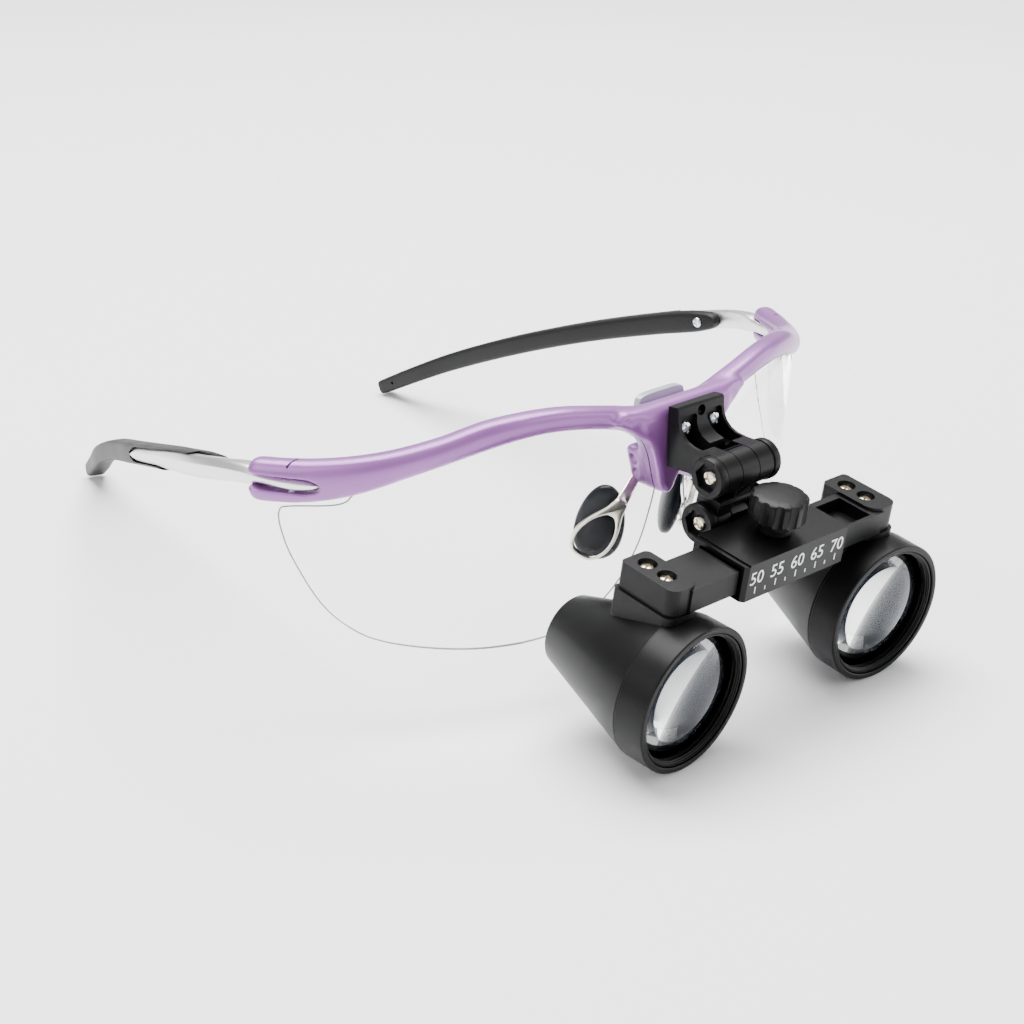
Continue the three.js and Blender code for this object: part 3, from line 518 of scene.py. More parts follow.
class Temple:
    """The temple's centre line as evenly spaced points, with its outward and upward directions."""
    def __init__(self, name, side):
        pin = Vector(TEMPLE_LINES[name][0])
        ahead = Vector((-side * math.cos(FORK_TURN), -math.sin(FORK_TURN), 0))
        lead = [pin + ahead * ARM_NOSE, pin + ahead * ARM_NOSE / 2]
        points = lead + [Vector(p) for p in TEMPLE_LINES[name]]
        points = [2 * points[0] - points[1]] + points + [2 * points[-1] - points[-2]]
        dense = []
        for a, b, c, d in zip(points, points[1:], points[2:], points[3:]):
            t1 = (b - a).length ** 0.5
            t2 = t1 + (c - b).length ** 0.5
            t3 = t2 + (d - c).length ** 0.5
            for k in range(60):
                t = t1 + (t2 - t1) * k / 60
                ab = a.lerp(b, t / t1)
                bc = b.lerp(c, (t - t1) / (t2 - t1))
                cd = c.lerp(d, (t - t2) / (t3 - t2))
                dense.append(ab.lerp(bc, t / t2).lerp(bc.lerp(cd, (t - t1) / (t3 - t1)), (t - t1) / (t2 - t1)))
        self.side = side
        self.points = dense
        self.reach = [0.0]
        for a, b in zip(dense, dense[1:]):
            self.reach.append(self.reach[-1] + (b - a).length)
        self.length = self.reach[-1]
    def at(self, distance, outward=0.0, upward=0.0):
        last = len(self.points) - 2
        i = 0
        while i < last and self.reach[i + 1] < distance:
            i += 1
        a, b = self.points[i], self.points[i + 1]
        heading = (self.points[min(i + 4, last)] - self.points[max(i - 4, 0)]).normalized()
        level = heading.cross(Vector((0, 0, 1))).normalized()
        lift = level.cross(heading)
        share = (distance - self.reach[i]) / (self.reach[i + 1] - self.reach[i])
        return a.lerp(b, share) + level * self.side * outward + lift * upward

def temple_arm(temple):
    end, corners = ARM_HALF[-1][0], 18
    def section(share, angle):
        distance = end * share
        half, out, inner = (max(0.05, through(table, distance)) if table is ARM_HALF else through(table, distance)
                            for table in (ARM_HALF, ARM_OUT, ARM_IN))
        cham = min(1.0, (out - inner) * 0.45)
        ring = ((out, 0.28), (out, -0.28), (out - 0.06, -0.4), (out - 0.5 * cham, -0.76), (out - cham, -0.98),
                (out - cham - 0.1, -1), (inner + 0.35, -1), (inner + 0.1, -0.96), (inner, -0.86), (inner, 0),
                (inner, 0.86), (inner + 0.1, 0.96), (inner + 0.35, 1), (out - cham - 0.1, 1), (out - cham, 0.98),
                (out - 0.5 * cham, 0.76), (out - 0.06, 0.4), (out, 0.34))
        outward, upward = ring[round(angle / (2 * math.pi) * corners) % corners]
        return temple.at(distance, outward, upward * half)
    return swept(150, corners, section)

def sleeve_start(temple):
    return ARM_NOSE + 0.13 * (temple.length - ARM_NOSE)

def temple_sleeve(temple):
    start = sleeve_start(temple)
    run = temple.length - start
    def section(share, angle):
        distance = run * share
        half = through(SLEEVE_HALF, distance)
        tip = min(1.0, (run - distance) / 1.2)
        grow = 0.55 + 0.45 * math.sqrt(max(0.0, 1 - (1 - tip) ** 2))
        outward = 0.1 + 2.5 * rounded(math.cos(angle), 0.5) * grow
        return temple.at(start + distance, outward, half * rounded(math.sin(angle), 0.5) * grow)
    sleeve = swept(170, 28, section)
    def channel_point(share, angle):
        distance = start - 6 + (ARM_HALF[-1][0] + 6.6 - start) * share
        half = max(0.3, through(ARM_HALF, min(distance, ARM_HALF[-1][0] - 0.6))) + 0.12
        top = max(half, min(4.5, half + (39 - distance) * 0.16)) if distance > 35 else 4.5
        low = max(half, min(4.5, half + (63 - distance) * 0.16)) if distance > 59 else 4.5
        outward = (-0.2, -0.2, 5.0, 5.0)[round(angle / (math.pi / 2)) % 4]
        upward = (-low, top, top, -low)[round(angle / (math.pi / 2)) % 4]
        return temple.at(distance, outward, upward)
    channel = swept(90, 4, channel_point)
    tip_hole = rod(0.45, temple.at(temple.length - 7, -4), temple.at(temple.length - 7, -1.6), 20)
    seat = rod(1.45, temple.at(start + 5.2, -4), temple.at(start + 5.2, -2.25), 32)
    return fitted(sleeve, channel, tip_hole, seat, flat=False)

def toward(point, direction):
    """A place whose +Y points along the direction."""
    return shift(point) @ Vector(direction).to_track_quat("Y", "Z").to_matrix().to_4x4()

def turned(profile, sides=96):
    """A profile of (radius, along) spun round the Y axis."""
    shape = bmesh.new()
    line = [shape.verts.new((radius, along, 0)) for radius, along in profile]
    edges = [shape.edges.new(pair) for pair in zip(line, line[1:])]
    bmesh.ops.spin(shape, geom=line + edges, cent=(0, 0, 0), axis=(0, 1, 0), angle=2 * math.pi, steps=sides,
                   use_merge=True)
    bmesh.ops.remove_doubles(shape, verts=shape.verts, dist=0.0005)
    bmesh.ops.recalc_face_normals(shape, faces=shape.faces)
    return shape

def cross_head(radius, height, stem=0.0):
    """A pan head with a cross recess, its seat at the origin and its top along +Y."""
    crown = [(0, height), (radius * 0.5, height * 0.96), (radius * 0.8, height * 0.78), (radius * 0.97, height * 0.42),
             (radius, height * 0.1), (radius * 0.98, 0), (radius * 0.5, 0)]
    crown += [(radius * 0.5, -stem), (0, -stem)] if stem else [(0, 0)]
    head = turned(crown, 40)
    slots = []
    for turn in (0.4, 0.4 + math.pi / 2):
        slots.append(moved(block((-radius * 0.62, height * 0.35, -radius * 0.15),
                                 (radius * 0.62, height * 2, radius * 0.15)), rotation(turn, 4, "Y")))
    return soften(fitted(head, *slots, flat=False), radius * 0.035, 1, 50)

SATIN_ALUMINIUM = surface("satin_aluminium", (0.72, 0.72, 0.70), (0.80, 0.80, 0.78), 0.40, 0.26, metallic=1.0,
                          scale=6000.0, depth=0.000004)
SOFT_BLACK = surface("soft_touch_black", (0.0022, 0.0022, 0.0024), (0.0050, 0.0050, 0.0053), 0.54, 0.42, scale=5000.0,
                     depth=0.00001, specular=0.2, speck=(0.02, 0.02, 0.022))
ZINC = surface("bright_zinc", (0.66, 0.69, 0.72), (0.78, 0.80, 0.82), 0.30, 0.14, metallic=1.0, scale=2500.0,
               depth=0.000008)

def finished(node, finish):
    """Gives a finish to a hidden part that is left as it was drawn."""
    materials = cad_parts[node].data.materials
    materials.clear()
    materials.append(finish)

for name, side in SIDES:
    temple = Temple(name, side)
    body = f"temple_{name}"
    start = sleeve_start(temple)
    piece(f"temple_arm_faceted_{name}", temple_arm(temple), body, SATIN_ALUMINIUM,
          [f"temple_arm_{name}"], flat=False, sharp=40)
    piece(f"temple_sleeve_soft_{name}", temple_sleeve(temple), body, SOFT_BLACK,
          [f"temple_sleeve_{name}"], flat=False, sharp=45)
    spot = temple.at(start + 5.2, -2.25)
    inward = temple.at(start + 5.2, -3) - spot
    piece(f"sleeve_screw_head_{name}", moved(cross_head(1.2, 0.6), toward(spot, inward)), body, ZINC,
          [f"sleeve_screw_{name}"])
    finished(f"temple_pin_{name}", ZINC)

# ---- Bracket and back plate ------------------------------------------
# A black glass-filled nylon bracket stands in front of the bridge. Two zinc screws in deep pockets pull
# it through the bridge onto a satin plate behind, and its two ears carry the flip hinge.
FLIP_AXIS = (-86.2, 48.7)
TILT_AXIS = (-84.0, 38.7)
KNUCKLE = 3.9
EAR_IN, EAR_OUT = 2.5, 6.4
BRACKET_BACK = -73.95
BRACKET_SIDE = ((BRACKET_BACK, 59.5), (-76.1, 59.7), (-76.6, 59.3), (-76.65, 57.4), (-76.95, 55.9), (-77.7, 54.6),
                (-78.9, 53.55), (-80.6, 52.9), (-83, 52.62), (-86.2, 52.6), (-86.2, 45.0), (-83.6, 45.7), (-81.6, 46.8),
                (-79.6, 47.4), (BRACKET_BACK, 47.2))
POCKET = ((1.25, 57.3), (1.7, 57.7), (5.3, 57.7), (5.75, 57.3), (5.75, 51), (2.5, 51), (2.1, 52.5))
POCKET_FLOOR = ((-75.9, 57.9), (-90, 57.9), (-90, 53.1), (-82.9, 53.1), (-81.6, 51.6), (-79.6, 50.4), (-77.4, 50.3),
                (-75.9, 50.9))
PLATE_EDGE = ((-6.3, 50.5), (6.3, 50.5), (6.5, 54.5), (6.4, 57.6), (5.2, 59.2), (0, 59.45), (-5.2, 59.2), (-6.4, 57.6),
              (-6.5, 54.5))
SCREW_REACH, SCREW_HEIGHT = 4.1, 55.1
BLACK_NYLON = surface("black_glass_filled_nylon", (0.0013, 0.0013, 0.0014), (0.0030, 0.0030, 0.0032), 0.46, 0.33,
                      scale=7000.0, depth=0.000012, specular=0.17, speck=(0.014, 0.014, 0.015))

def bracket():
    ears = [rod(KNUCKLE, (-EAR_OUT, *FLIP_AXIS), (EAR_OUT, *FLIP_AXIS), 72)]
    body = fitted(prism(BRACKET_SIDE, -EAR_OUT, EAR_OUT, "side"), *ears, how="UNION")
    cuts = [rod(KNUCKLE + 0.2, (-EAR_IN, *FLIP_AXIS), (EAR_IN, *FLIP_AXIS), 72),
            block((-EAR_IN, -84.8, 49.6), (EAR_IN, -81.0, 56)),
            block((-EAR_IN, -92, 43), (EAR_IN, FLIP_AXIS[0], FLIP_AXIS[1])),
            rod(1.1, (0, -73.9 - 4.6, 58), (0, -70, 58), 36)]
    for _, side in SIDES:
        front = prism([(side * x, z) for x, z in POCKET], -90, -75.2, "front")
        floor = prism(POCKET_FLOOR, min(0, side * 7), max(0, side * 7), "side")
        cuts.append(fitted(front, floor, how="INTERSECT"))
    threads = []
    for turn in range(4):
        along = -74.9 - 0.55 * turn
        threads.append(rod(1.26, (0, along, 58), (0, along + 0.22, 58), 36))
    return soften(fitted(fitted(body, *cuts), *threads), 0.16, 2, 34)

piece("hinge_bracket", bracket(), "frame", BLACK_NYLON, ["bracket"], sharp=40)
for name, side in SIDES:
    seat = toward((side * SCREW_REACH, -75.9, SCREW_HEIGHT), (0, -1, 0))
    piece(f"bracket_screw_head_{name}", moved(cross_head(1.5, 0.95, 9), seat), "frame", ZINC,
          [f"bracket_screw_{name}"], sharp=30)

def back_plate():
    plate = prism(looped(PLATE_EDGE, 4), -66.1, -64.5, "front")
    sockets = [rod(1.35, (side * SCREW_REACH, -64.9, SCREW_HEIGHT), (side * SCREW_REACH, -63, SCREW_HEIGHT), 36)
               for _, side in SIDES]
    return soften(fitted(plate, *sockets, flat=False), 0.35, 3, 40)

SATIN_PLATE = surface("satin_zinc_casting", (0.34, 0.40, 0.385), (0.42, 0.48, 0.465), 0.40, 0.28, metallic=0.35,
                      scale=5000.0, depth=0.00001)
piece("bridge_plate", back_plate(), "frame", SATIN_PLATE, ["bridge_back_plate"], sharp=40)

# ---- Flip and tilt hinges --------------------------------------------
# Both hinges are the same: a knuckle between two ears, a cap with a hexagon pocket on each end, and a
# nickel-plated screw whose head sits in the pocket. A short black link joins the upper to the lower one.
CAP_INNER, CAP_OUTER, POCKET_SEAT = 6.65, 8.5, 7.25
WARM_NICKEL = surface("warm_nickel", (0.62, 0.55, 0.42), (0.78, 0.72, 0.60), 0.32, 0.12, metallic=1.0, scale=2500.0,
                      depth=0.00001)

def hexagon(flats):
    turns = [math.radians(60 * k + 12) for k in range(6)]
    return [(flats / math.sqrt(3) * math.cos(turn), flats / math.sqrt(3) * math.sin(turn)) for turn in turns]

def hinge_cap(axis, side):
    depth = CAP_OUTER - CAP_INNER
    cap = turned(((0, 0), (4.0, 0), (4.1, 0.12), (4.1, depth - 0.45), (3.95, depth - 0.3), (3.92, depth - 0.06),
                  (3.8, depth), (0, depth)), 96)
    place = shift((side * CAP_INNER, *axis)) @ rotation(-side * math.pi / 2, 4, "Z")
    cap = moved(cap, place)
    low, high = sorted((side * POCKET_SEAT, side * 9))
    pocket = prism([(a + axis[0], b + axis[1]) for a, b in hexagon(5.0)], low, high, "side")
    return soften(fitted(cap, pocket), 0.12, 2, 34)

for hinge, axis, body in (("flip", FLIP_AXIS, "frame"), ("tilt", TILT_AXIS, "link")):
    for name, side in SIDES:
        piece(f"{hinge}_cap_{name}", hinge_cap(axis, side), body, BLACK_NYLON,
              [f"{hinge}_hinge_cap_{name}"], sharp=40)
    head = moved(cross_head(1.55, 0.8, 15), shift((-POCKET_SEAT, *axis)) @ rotation(math.pi / 2, 4, "Z"))
    nut = rod(1.6, (7.1, *axis), (7.8, *axis), 6)
    piece(f"{hinge}_screw", fitted(head, nut, how="UNION", flat=False), body, WARM_NICKEL,
          [f"{hinge}_hinge_bolt"], sharp=30)

def hinge_link():
    fall = Vector((TILT_AXIS[0] - FLIP_AXIS[0], TILT_AXIS[1] - FLIP_AXIS[1]))
    lean = math.atan2(fall.x, -fall.y)
    span = fall.length
    link = rod(KNUCKLE, (-2.3, 0, 0), (2.3, 0, 0), 72)
    body = soften(block((-6.35, -3.3, -span + 4.2), (6.35, 3.3, -4.35)), 0.7, 3)
    joined = [block((-2.3, -2.7, -span + 4.4), (2.3, 2.7, 0)), body]
    for side in (-1, 1):
        low, high = sorted((side * 2.6, side * 6.35))
        joined.append(rod(KNUCKLE, (low, 0, -span), (high, 0, -span), 72))
        joined.append(block((low, -2.9, -span), (high, 2.9, -4.6)))
    link = soften(fitted(link, *joined, how="UNION"), 0.18, 2, 34)
    return moved(link, shift((0, *FLIP_AXIS)) @ rotation(lean, 4, "X"))

piece("link_block", hinge_link(), "link", BLACK_NYLON, ["hinge_link"], sharp=40)

# ---- Pupil-distance housing ------------------------------------------
# A moulded black case with a channel right through it for the two sliding racks. Its knuckle hangs in
# the link's ears, and its front carries a white printed scale.
DECK = shift((0, -102.9, 37.8)) @ rotation(math.radians(8.96), 4, "X")
CASE_HALF, CASE_DEEP, CASE_HIGH = 14.72, 13.6, 7.84
RACK_LOW, RACK_TOP, RACK_FRONT, RACK_BACK = -6.5, -1.6, 1.55, 11.85
PINION_BACK = 6.7

def case():
    shell = block((-CASE_HALF, 0, -CASE_HIGH), (CASE_HALF, CASE_DEEP, 0))
    corners = [e for e in shell.edges if abs((e.verts[0].co - e.verts[1].co).z) > 1 and e.verts[0].co.y < 1]
    bmesh.ops.bevel(shell, geom=corners, offset=0.75, offset_type="OFFSET", segments=1, profile=0.5, affect="EDGES",
                    clamp_overlap=True, material=-1)
    axis = DECK.inverted() @ Vector((0, *TILT_AXIS))
    knuckle = rod(KNUCKLE, (-2.25, axis.y, axis.z), (2.25, axis.y, axis.z), 72)
    neck = block((-2.25, CASE_DEEP - 0.5, axis.z - 2.6), (2.25, axis.y, axis.z + 2))
    shell = fitted(shell, knuckle, neck, how="UNION")
    cuts = [block((-20, RACK_FRONT - 0.25, RACK_LOW - 0.25), (20, RACK_BACK + 0.25, RACK_TOP + 0.4)),
            rod(2.1, (0, PINION_BACK, -4), (0, PINION_BACK, 2), 48)]
    for side in (-1, 1):
        low, high = sorted((side * (CASE_HALF - 0.9), side * 20))
        cuts.append(block((low, -1, -0.35), (high, CASE_DEEP + 1, 1)))
    return moved(soften(fitted(shell, *cuts), 0.16, 2, 34), DECK)

SATIN_BLACK = surface("satin_black_anodised", (0.0011, 0.0011, 0.0012), (0.0024, 0.0024, 0.0026), 0.38, 0.28,
                      scale=9000.0, depth=0.000004, specular=0.17, speck=(0.012, 0.012, 0.013))
piece("distance_case", case(), "housing", SATIN_BLACK, ["pd_housing"], sharp=40)

WHITE_PRINT = surface("white_print", (0.74, 0.75, 0.76), (0.82, 0.82, 0.82), 0.6, 0.5, scale=3000.0, depth=0.000002)

def printed_scale():
    """Ticks for the distance between the pupils, with a number on every second long one."""
    marks = bmesh.new()
    for tick in range(9):
        x = -11.5 + tick * 2.875
        tall = 0.75 if tick % 2 else 1.4
        bmesh.ops.create_cube(marks, size=1.0, matrix=shift((x, -0.012, -6.6 + tall / 2))
                              @ Matrix.Diagonal((0.24, 0.03, tall, 1)))
    for order, value in enumerate((50, 55, 60, 65, 70)):
        text = bpy.data.curves.new("number", "FONT")
        text.body = str(value)
        text.size = 3.9
        text.align_x = "CENTER"
        text.extrude = 0.015
        text.resolution_u = 3
        mesh = frozen(shown(bpy.data.objects.new("number", text)))
        mesh.transform(shift((-11.5 + order * 5.75, -0.012, -4.5)) @ rotation(math.pi / 2, 4, "X"))
        marks.from_mesh(mesh)
        bpy.data.meshes.remove(mesh)
        bpy.data.curves.remove(text)
    bmesh.ops.remove_doubles(marks, verts=marks.verts, dist=0.0002)
    return moved(marks, DECK)

piece("distance_scale", printed_scale(), "housing", WHITE_PRINT, [], flat=False)

# ---- Thumb knob ------------------------------------------------------
# Turned by a fingertip to set the distance between the telescopes. A black moulded knob with broad
# lobes and narrow grooves, on a plain collar, pressed onto the pinion's shaft.
LOBES, GROOVE_REACH, GROOVE_RADIUS = 12, 6.0, 1.05

def thumb_knob():
    upright = rotation(math.pi / 2, 4, "X")
    knob = moved(turned(((0, 2.9), (4.9, 2.9), (5.4, 3.2), (5.65, 3.7), (5.68, 7.2), (5.5, 7.6), (5.1, 7.85),
                         (3.4, 8.02), (1.6, 8.1), (0, 8.12)), 132), upright)
    grooves = []
    for lobe in range(LOBES):
        turn = 2 * math.pi * (lobe + 0.35) / LOBES
        reach = (GROOVE_REACH * math.cos(turn), GROOVE_REACH * math.sin(turn))
        grooves.append(rod(GROOVE_RADIUS, (*reach, 2), (*reach, 9), 28))
    knob = soften(fitted(knob, *grooves, flat=False), 0.22, 2, 36)
    collar = turned(((0, 0.3), (3.25, 0.3), (3.4, 0.45), (3.4, 0.9), (3.05, 1.2), (3.05, 3.1), (0, 3.1)), 72)
    knob = fitted(knob, moved(collar, upright), how="UNION", flat=False)
    return moved(knob, DECK @ shift((0, PINION_BACK, 0)))

piece("lobed_thumb_knob", thumb_knob(), "knob", BLACK_NYLON, ["thumb_knob"], sharp=40)
finished("pinion_shaft", WARM_NICKEL)

# ---- Sliding blocks --------------------------------------------------
# Each side is one moulding: a rack that runs in the case's channel, an arm and a raised block with two
# counterbored screws. The wearer's-left arm is an open channel with two oval moulding marks.
RACK_PITCH = 2 * math.pi * 2.5 / 10
BLOCK_IN, BLOCK_OUT, BLOCK_FRONT, BLOCK_REAR = 24.96, 32.1, 1.95, 15.9
SCREW_SPOTS = (("front", 7.3), ("rear", 12.3))
SCREW_X, SCREW_SEAT = 28.5, -2.35
RAIL_LOW, RAIL_TOP, RAIL_END = -6.2, -2.2, -8.5

def rounded_block(side, rise, grow=0.0):
    """The block's plan with its four corners rounded, as an outline, then pulled up."""
    points = []
    out, inner, front, rear = BLOCK_OUT + grow, BLOCK_IN - grow, BLOCK_FRONT - grow, BLOCK_REAR + grow
    corners = (out, front, 2.2, -90), (out, rear, 1.0, 0), (inner, rear, 1.3, 90), (inner, front, 3.0, 180)
    for x, y, radius, start in corners:
        cx = x - radius if start in (-90, 0) else x + radius
        cy = y + radius if start in (-90, 180) else y - radius
        for step in range(9):
            turn = math.radians(start + step * 90 / 8)
            points.append((side * (cx + radius * math.cos(turn)), cy + radius * math.sin(turn)))
    return prism(points, *rise)

def slider(side):
    def span(a, b):
        return sorted((side * a, side * b))
    rail_front, rail_back = (RACK_FRONT, PINION_BACK - 3.1) if side > 0 else (PINION_BACK + 3.1, RACK_BACK)
    rail_low, rail_high = span(RAIL_END, 15.9)
    arm_low, arm_high = span(14.9, BLOCK_IN + 2.5)
    joined = [block((rail_low, rail_front, RAIL_LOW), (rail_high, rail_back, RAIL_TOP)),
              rounded_block(side, (RACK_LOW, -0.95))]
    body = block((arm_low, RACK_FRONT, RACK_LOW), (arm_high, RACK_BACK, RACK_TOP))
    root, tip = PINION_BACK - side * 3.25, PINION_BACK - side * 2.1
    for tooth in range(-3, 6):
        x = -side * tooth * RACK_PITCH
        joined.append(prism(((x - 0.34, root), (x + 0.34, root), (x + 0.13, tip), (x - 0.13, tip)), -6.1, -2.3))
    body = fitted(body, *joined, how="UNION")
    cuts = [rod(1.85, (side * SCREW_X, back, SCREW_SEAT), (side * SCREW_X, back, 2), 48) for _, back in SCREW_SPOTS]
    if side > 0:
        trough_low, trough_high = span(14.0, BLOCK_IN - 0.9)
        cuts.append(block((trough_low, 2.3, -4.3), (trough_high, 10.3, 1)))
        for back in (4.6, 8.3):
            oval = shift((side * 19.4, back, -4.5)) @ Matrix.Diagonal((1.25, 1, 1, 1))
            cuts.append(moved(rod(1.25, (0, 0, -0.6), (0, 0, 0.6), 40), oval))
    return moved(soften(fitted(body, *cuts), 0.2, 2, 34), DECK)

SCOPE_TILT, SCOPE_TOE = math.radians(7.5), math.radians(3.4)
RIM, RIM_LONG, SCOPE_LONG, EYE = 15.0, 6.8, 32.0, 7.0

def scope_place(side):
    return (shift((side * 27.8, -103.1, RIM * math.cos(SCOPE_TILT))) @ rotation(SCOPE_TILT, 4, "X")
            @ rotation(-side * SCOPE_TOE, 4, "Z"))

def wedge(side):
    """The wedge under the block, cut to the telescope's cone."""
    body = moved(rounded_block(side, (-14.4, RACK_LOW - 0.02), 0.5), DECK)
    cone = turned(((0, -1), (RIM + 0.05, -1), (RIM + 0.05, RIM_LONG), (EYE + 0.05, SCOPE_LONG), (0, SCOPE_LONG)), 144)
    return soften(fitted(body, moved(cone, scope_place(side))), 0.12, 2, 40)

for name, side in SIDES:
    body = f"slider_{name}"
    piece(f"sliding_block_{name}", slider(side), body, BLACK_NYLON, [f"slider_{name}"], sharp=40)
    piece(f"wedge_{name}", wedge(side), body, BLACK_NYLON, [f"saddle_{name}"], sharp=40)
    for spot, back in SCREW_SPOTS:
        head = moved(cross_head(1.5, 0.9, 4.5), DECK @ toward((side * SCREW_X, back, SCREW_SEAT), (0, 0, 1)))
        piece(f"block_screw_head_{name}_{spot}", head, body, WARM_NICKEL,
              [f"block_screw_{name}_{spot}"], sharp=30)

# ---- Telescopes ------------------------------------------------------
# Short Galilean telescopes: a black turned aluminium cone with a wide front rim, a thick convex front
# lens behind a threaded ring, steps inside against stray light, and a small hollow lens at the eye.
BORE, BARREL_WALL = 13.75, 0.7

def barrel():
    profile = [(BORE, 0.15), (14.0, 0), (14.75, 0), (RIM, 0.25), (RIM, 6.5), (14.88, 6.62), (14.88, 6.9), (14.93, 7.05),
               (EYE + 0.25, 31.6), (EYE - 0.1, 31.95), (EYE - 0.4, SCOPE_LONG), (5.9, SCOPE_LONG), (5.75, 31.85),
               (5.75, 28.4), (5.0, 28.4), (5.0, 27.2)]
    for step in range(10):
        radius = 6.4 + step * 0.64
        along = 27.2 - step * 1.86
        profile += [(radius, along), (radius, along - 1.5), (radius + 0.35, along - 1.5)]
    profile += [(BORE, 8.46), (BORE, 0.15)]
    shape = turned(profile, 144)
    for face in shape.faces:
        middle = face.calc_center_median()
        cone = max(0.0, middle.y - RIM_LONG) / (SCOPE_LONG - RIM_LONG)
        inside = math.hypot(middle.x, middle.z) < RIM + (EYE - RIM) * cone - BARREL_WALL
        face.material_index = 1 if inside and 0.1 < middle.y < SCOPE_LONG - 0.1 else 0
    return shape

def threaded_ring():
    profile = [(13.65, 0.5), (13.5, 0.35), (13.2, 0.35), (13.15, 0.6), (13.0, 0.75), (12.95, 1.0), (12.8, 1.1),
               (12.75, 1.4), (12.85, 1.7), (12.75, 2.0), (12.85, 2.3), (13.0, 2.6), (13.65, 2.6), (13.65, 0.5)]
    return turned(profile, 144)

FRONT_CURVE, REAR_CURVE = 24.0, 50.0
LENS_FRONT, LENS_REAR, LENS_RADIUS = -0.5, 8.0, 13.45

def front_lens():
    def sag(radius, curve):
        return curve - math.sqrt(curve**2 - radius**2)
    steps = [LENS_RADIUS * k / 26 for k in range(27)]
    profile = [(radius, LENS_FRONT + sag(radius, FRONT_CURVE)) for radius in steps]
    profile += [(radius, LENS_REAR - sag(radius, REAR_CURVE)) for radius in reversed(steps)]
    return turned(profile, 128)

def eye_lens():
    profile = [(0, 29.6), (2, 29.5), (4, 29.2), (5.5, 28.7), (5.5, 31.2), (4, 30.85), (2, 30.5), (0, 30.4)]
    return turned(profile, 96)

def eye_ring():
    return turned([(4.6, 31.35), (4.4, 31.6), (4.7, 31.95), (5.45, 31.95), (5.45, 31.35), (4.6, 31.35)], 96)

TURNED_BLACK = surface("black_turned_aluminium", (0.0011, 0.0011, 0.0011), (0.0025, 0.0024, 0.0024), 0.42, 0.33,
                       scale=11000.0, depth=0.000006, specular=0.15, speck=(0.011, 0.011, 0.012))
BAFFLE_BLACK = surface("matt_baffle_black", (0.0005, 0.0005, 0.0005), (0.0012, 0.0012, 0.0012), 0.95, 0.8, scale=9000.0,
                       depth=0.00002, specular=0.0)
OPTICAL_GLASS = see_through("optical_glass", (0.97, 0.985, 0.98), 1.53, (0.1, 0.1, 0.1), rough=0.002,
                            glint=(0.10, 0.14, 0.22))
for name, side in SIDES:
    body = f"slider_{name}"
    place = scope_place(side)
    for part, shape, slot, finish, nodes, sharp in (
            ("telescope_barrel", barrel(), "black_anodised", TURNED_BLACK, ("barrel", "light_baffle"), 28),
            ("front_ring", threaded_ring(), "black_anodised", TURNED_BLACK, ("objective_ring",), 28),
            ("front_lens", front_lens(), "coated_glass", OPTICAL_GLASS, ("objective_lens",), 50),
            ("eye_lens", eye_lens(), "coated_glass", OPTICAL_GLASS, ("eyepiece_lens",), 50),
            ("eye_ring", eye_ring(), "black_anodised", TURNED_BLACK, ("eyepiece_ring",), 28)):
        made = piece(f"{part}_{name}", moved(shape, place), body, finish, [f"{node}_{name}" for node in nodes],
                     flat=False, sharp=sharp)
        if part == "telescope_barrel":
            made.data.materials.append(BAFFLE_BLACK)

# ---- Nose pads -------------------------------------------------------
# Slate-black silicone pads, each pushed into a polished metal ring. The ring and its flat stalk are
# one stamping that is set in the bridge's leg and bent by hand to fit the nose.
PAD_WIDE, PAD_LONG, PAD_THICK = 4.9, 8.8, 2.0

def pad_place(side):
    nose = Vector((-side * 0.72, 0.62, 0.2)).normalized()
    along = Vector((-side * 4.1, 0.5, 13.2)).normalized()
    width = along.cross(nose).normalized()
    along = nose.cross(width)
    place = Matrix((width, along, nose)).transposed().to_4x4()
    return shift((side * 10.7, -60.0, 32.3)) @ place

def nose_pad():
    pad = bmesh.new()
    bmesh.ops.create_uvsphere(pad, u_segments=64, v_segments=40, radius=1.0)
    for vert in pad.verts:
        x, y, z = vert.co
        taper = 1 - 0.16 * y
        vert.co = (PAD_WIDE * rounded(x, 0.92) * taper, PAD_LONG * rounded(y, 0.95),
                   PAD_THICK * rounded(z, 0.8) + 0.25 * (1 - x * x) * (z > 0))
    return pad

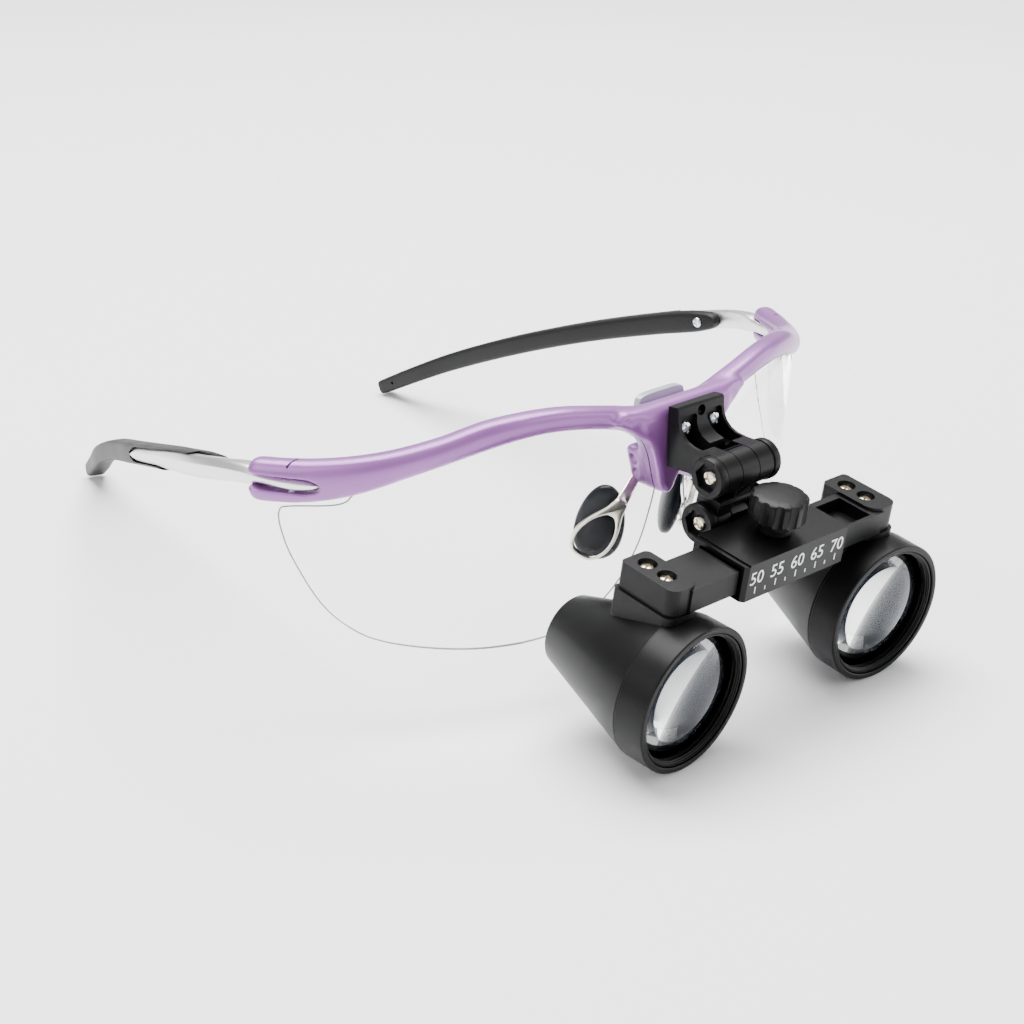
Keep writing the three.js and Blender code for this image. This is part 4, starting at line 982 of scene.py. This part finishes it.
def pad_ring():
    def oval(foot, half, head):
        return looped([foot, *half, head] + [(-x, y) for x, y in reversed(half)], 6)
    outer = oval((0, -7.4), ((2.5, -6.7), (3.9, -4.0), (4.05, -1.0), (3.3, 2.3), (2.0, 5.6), (1.3, 8.4)), (0, 8.8))
    window = oval((0, -6.5), ((2.0, -5.9), (3.15, -3.7), (3.25, -0.9), (2.5, 2.0), (1.1, 4.2)), (0, 4.6))
    ring = fitted(prism([tuple(p) for p in outer], -3.5, -2.5), prism([tuple(p) for p in window], -5, -1), flat=False)
    return soften(ring, 0.24, 2, 40)

RING_TURN = math.radians(22)

def pad_arm(side):
    place = pad_place(side) @ rotation(-side * RING_TURN, 4, "Z")
    ring = moved(pad_ring(), place)
    knots = [place @ Vector((0, 7.4, -3.0)), place @ Vector((0, 9.6, -3.0)), Vector((side * 6.4, -64.2, 41.0)),
             Vector((side * 4.9, -65.0, 43.4))]
    wide = place.to_3x3() @ Vector((1, 0, 0))
    def section(share, angle):
        first, second = knots[0].lerp(knots[1], share), knots[1].lerp(knots[2], share)
        third = knots[2].lerp(knots[3], share)
        centre = first.lerp(second, share).lerp(second.lerp(third, share), share)
        heading = (second - first).lerp(third - second, share).normalized()
        flat = wide - heading * wide.dot(heading)
        flat.normalize()
        thick = heading.cross(flat)
        wider = flat * rounded(math.cos(angle), 0.7) * (1.3 - 0.4 * share)
        return centre + wider + thick * rounded(math.sin(angle), 0.7) * 0.45
    return fitted(ring, swept(40, 20, section), how="UNION", flat=False)

SLATE_SILICONE = surface("slate_silicone", (0.0030, 0.0040, 0.0058), (0.0050, 0.0066, 0.0090), 0.34, 0.24,
                         scale=2500.0, depth=0.0000012, specular=0.12, speck=(0.04, 0.04, 0.045))
CHAMPAGNE = surface("polished_champagne_metal", (0.68, 0.64, 0.54), (0.76, 0.73, 0.64), 0.22, 0.12, metallic=1.0,
                    scale=1800.0, depth=0.000012)
for name, side in SIDES:
    pad = piece(f"silicone_pad_{name}", moved(nose_pad(), pad_place(side)), "frame", SLATE_SILICONE,
                [f"nose_pad_{name}"], flat=False, sharp=60)
    piece(f"pad_stamping_{name}", pad_arm(side), "frame", CHAMPAGNE, [f"pad_arm_{name}"],
          flat=False, sharp=40)
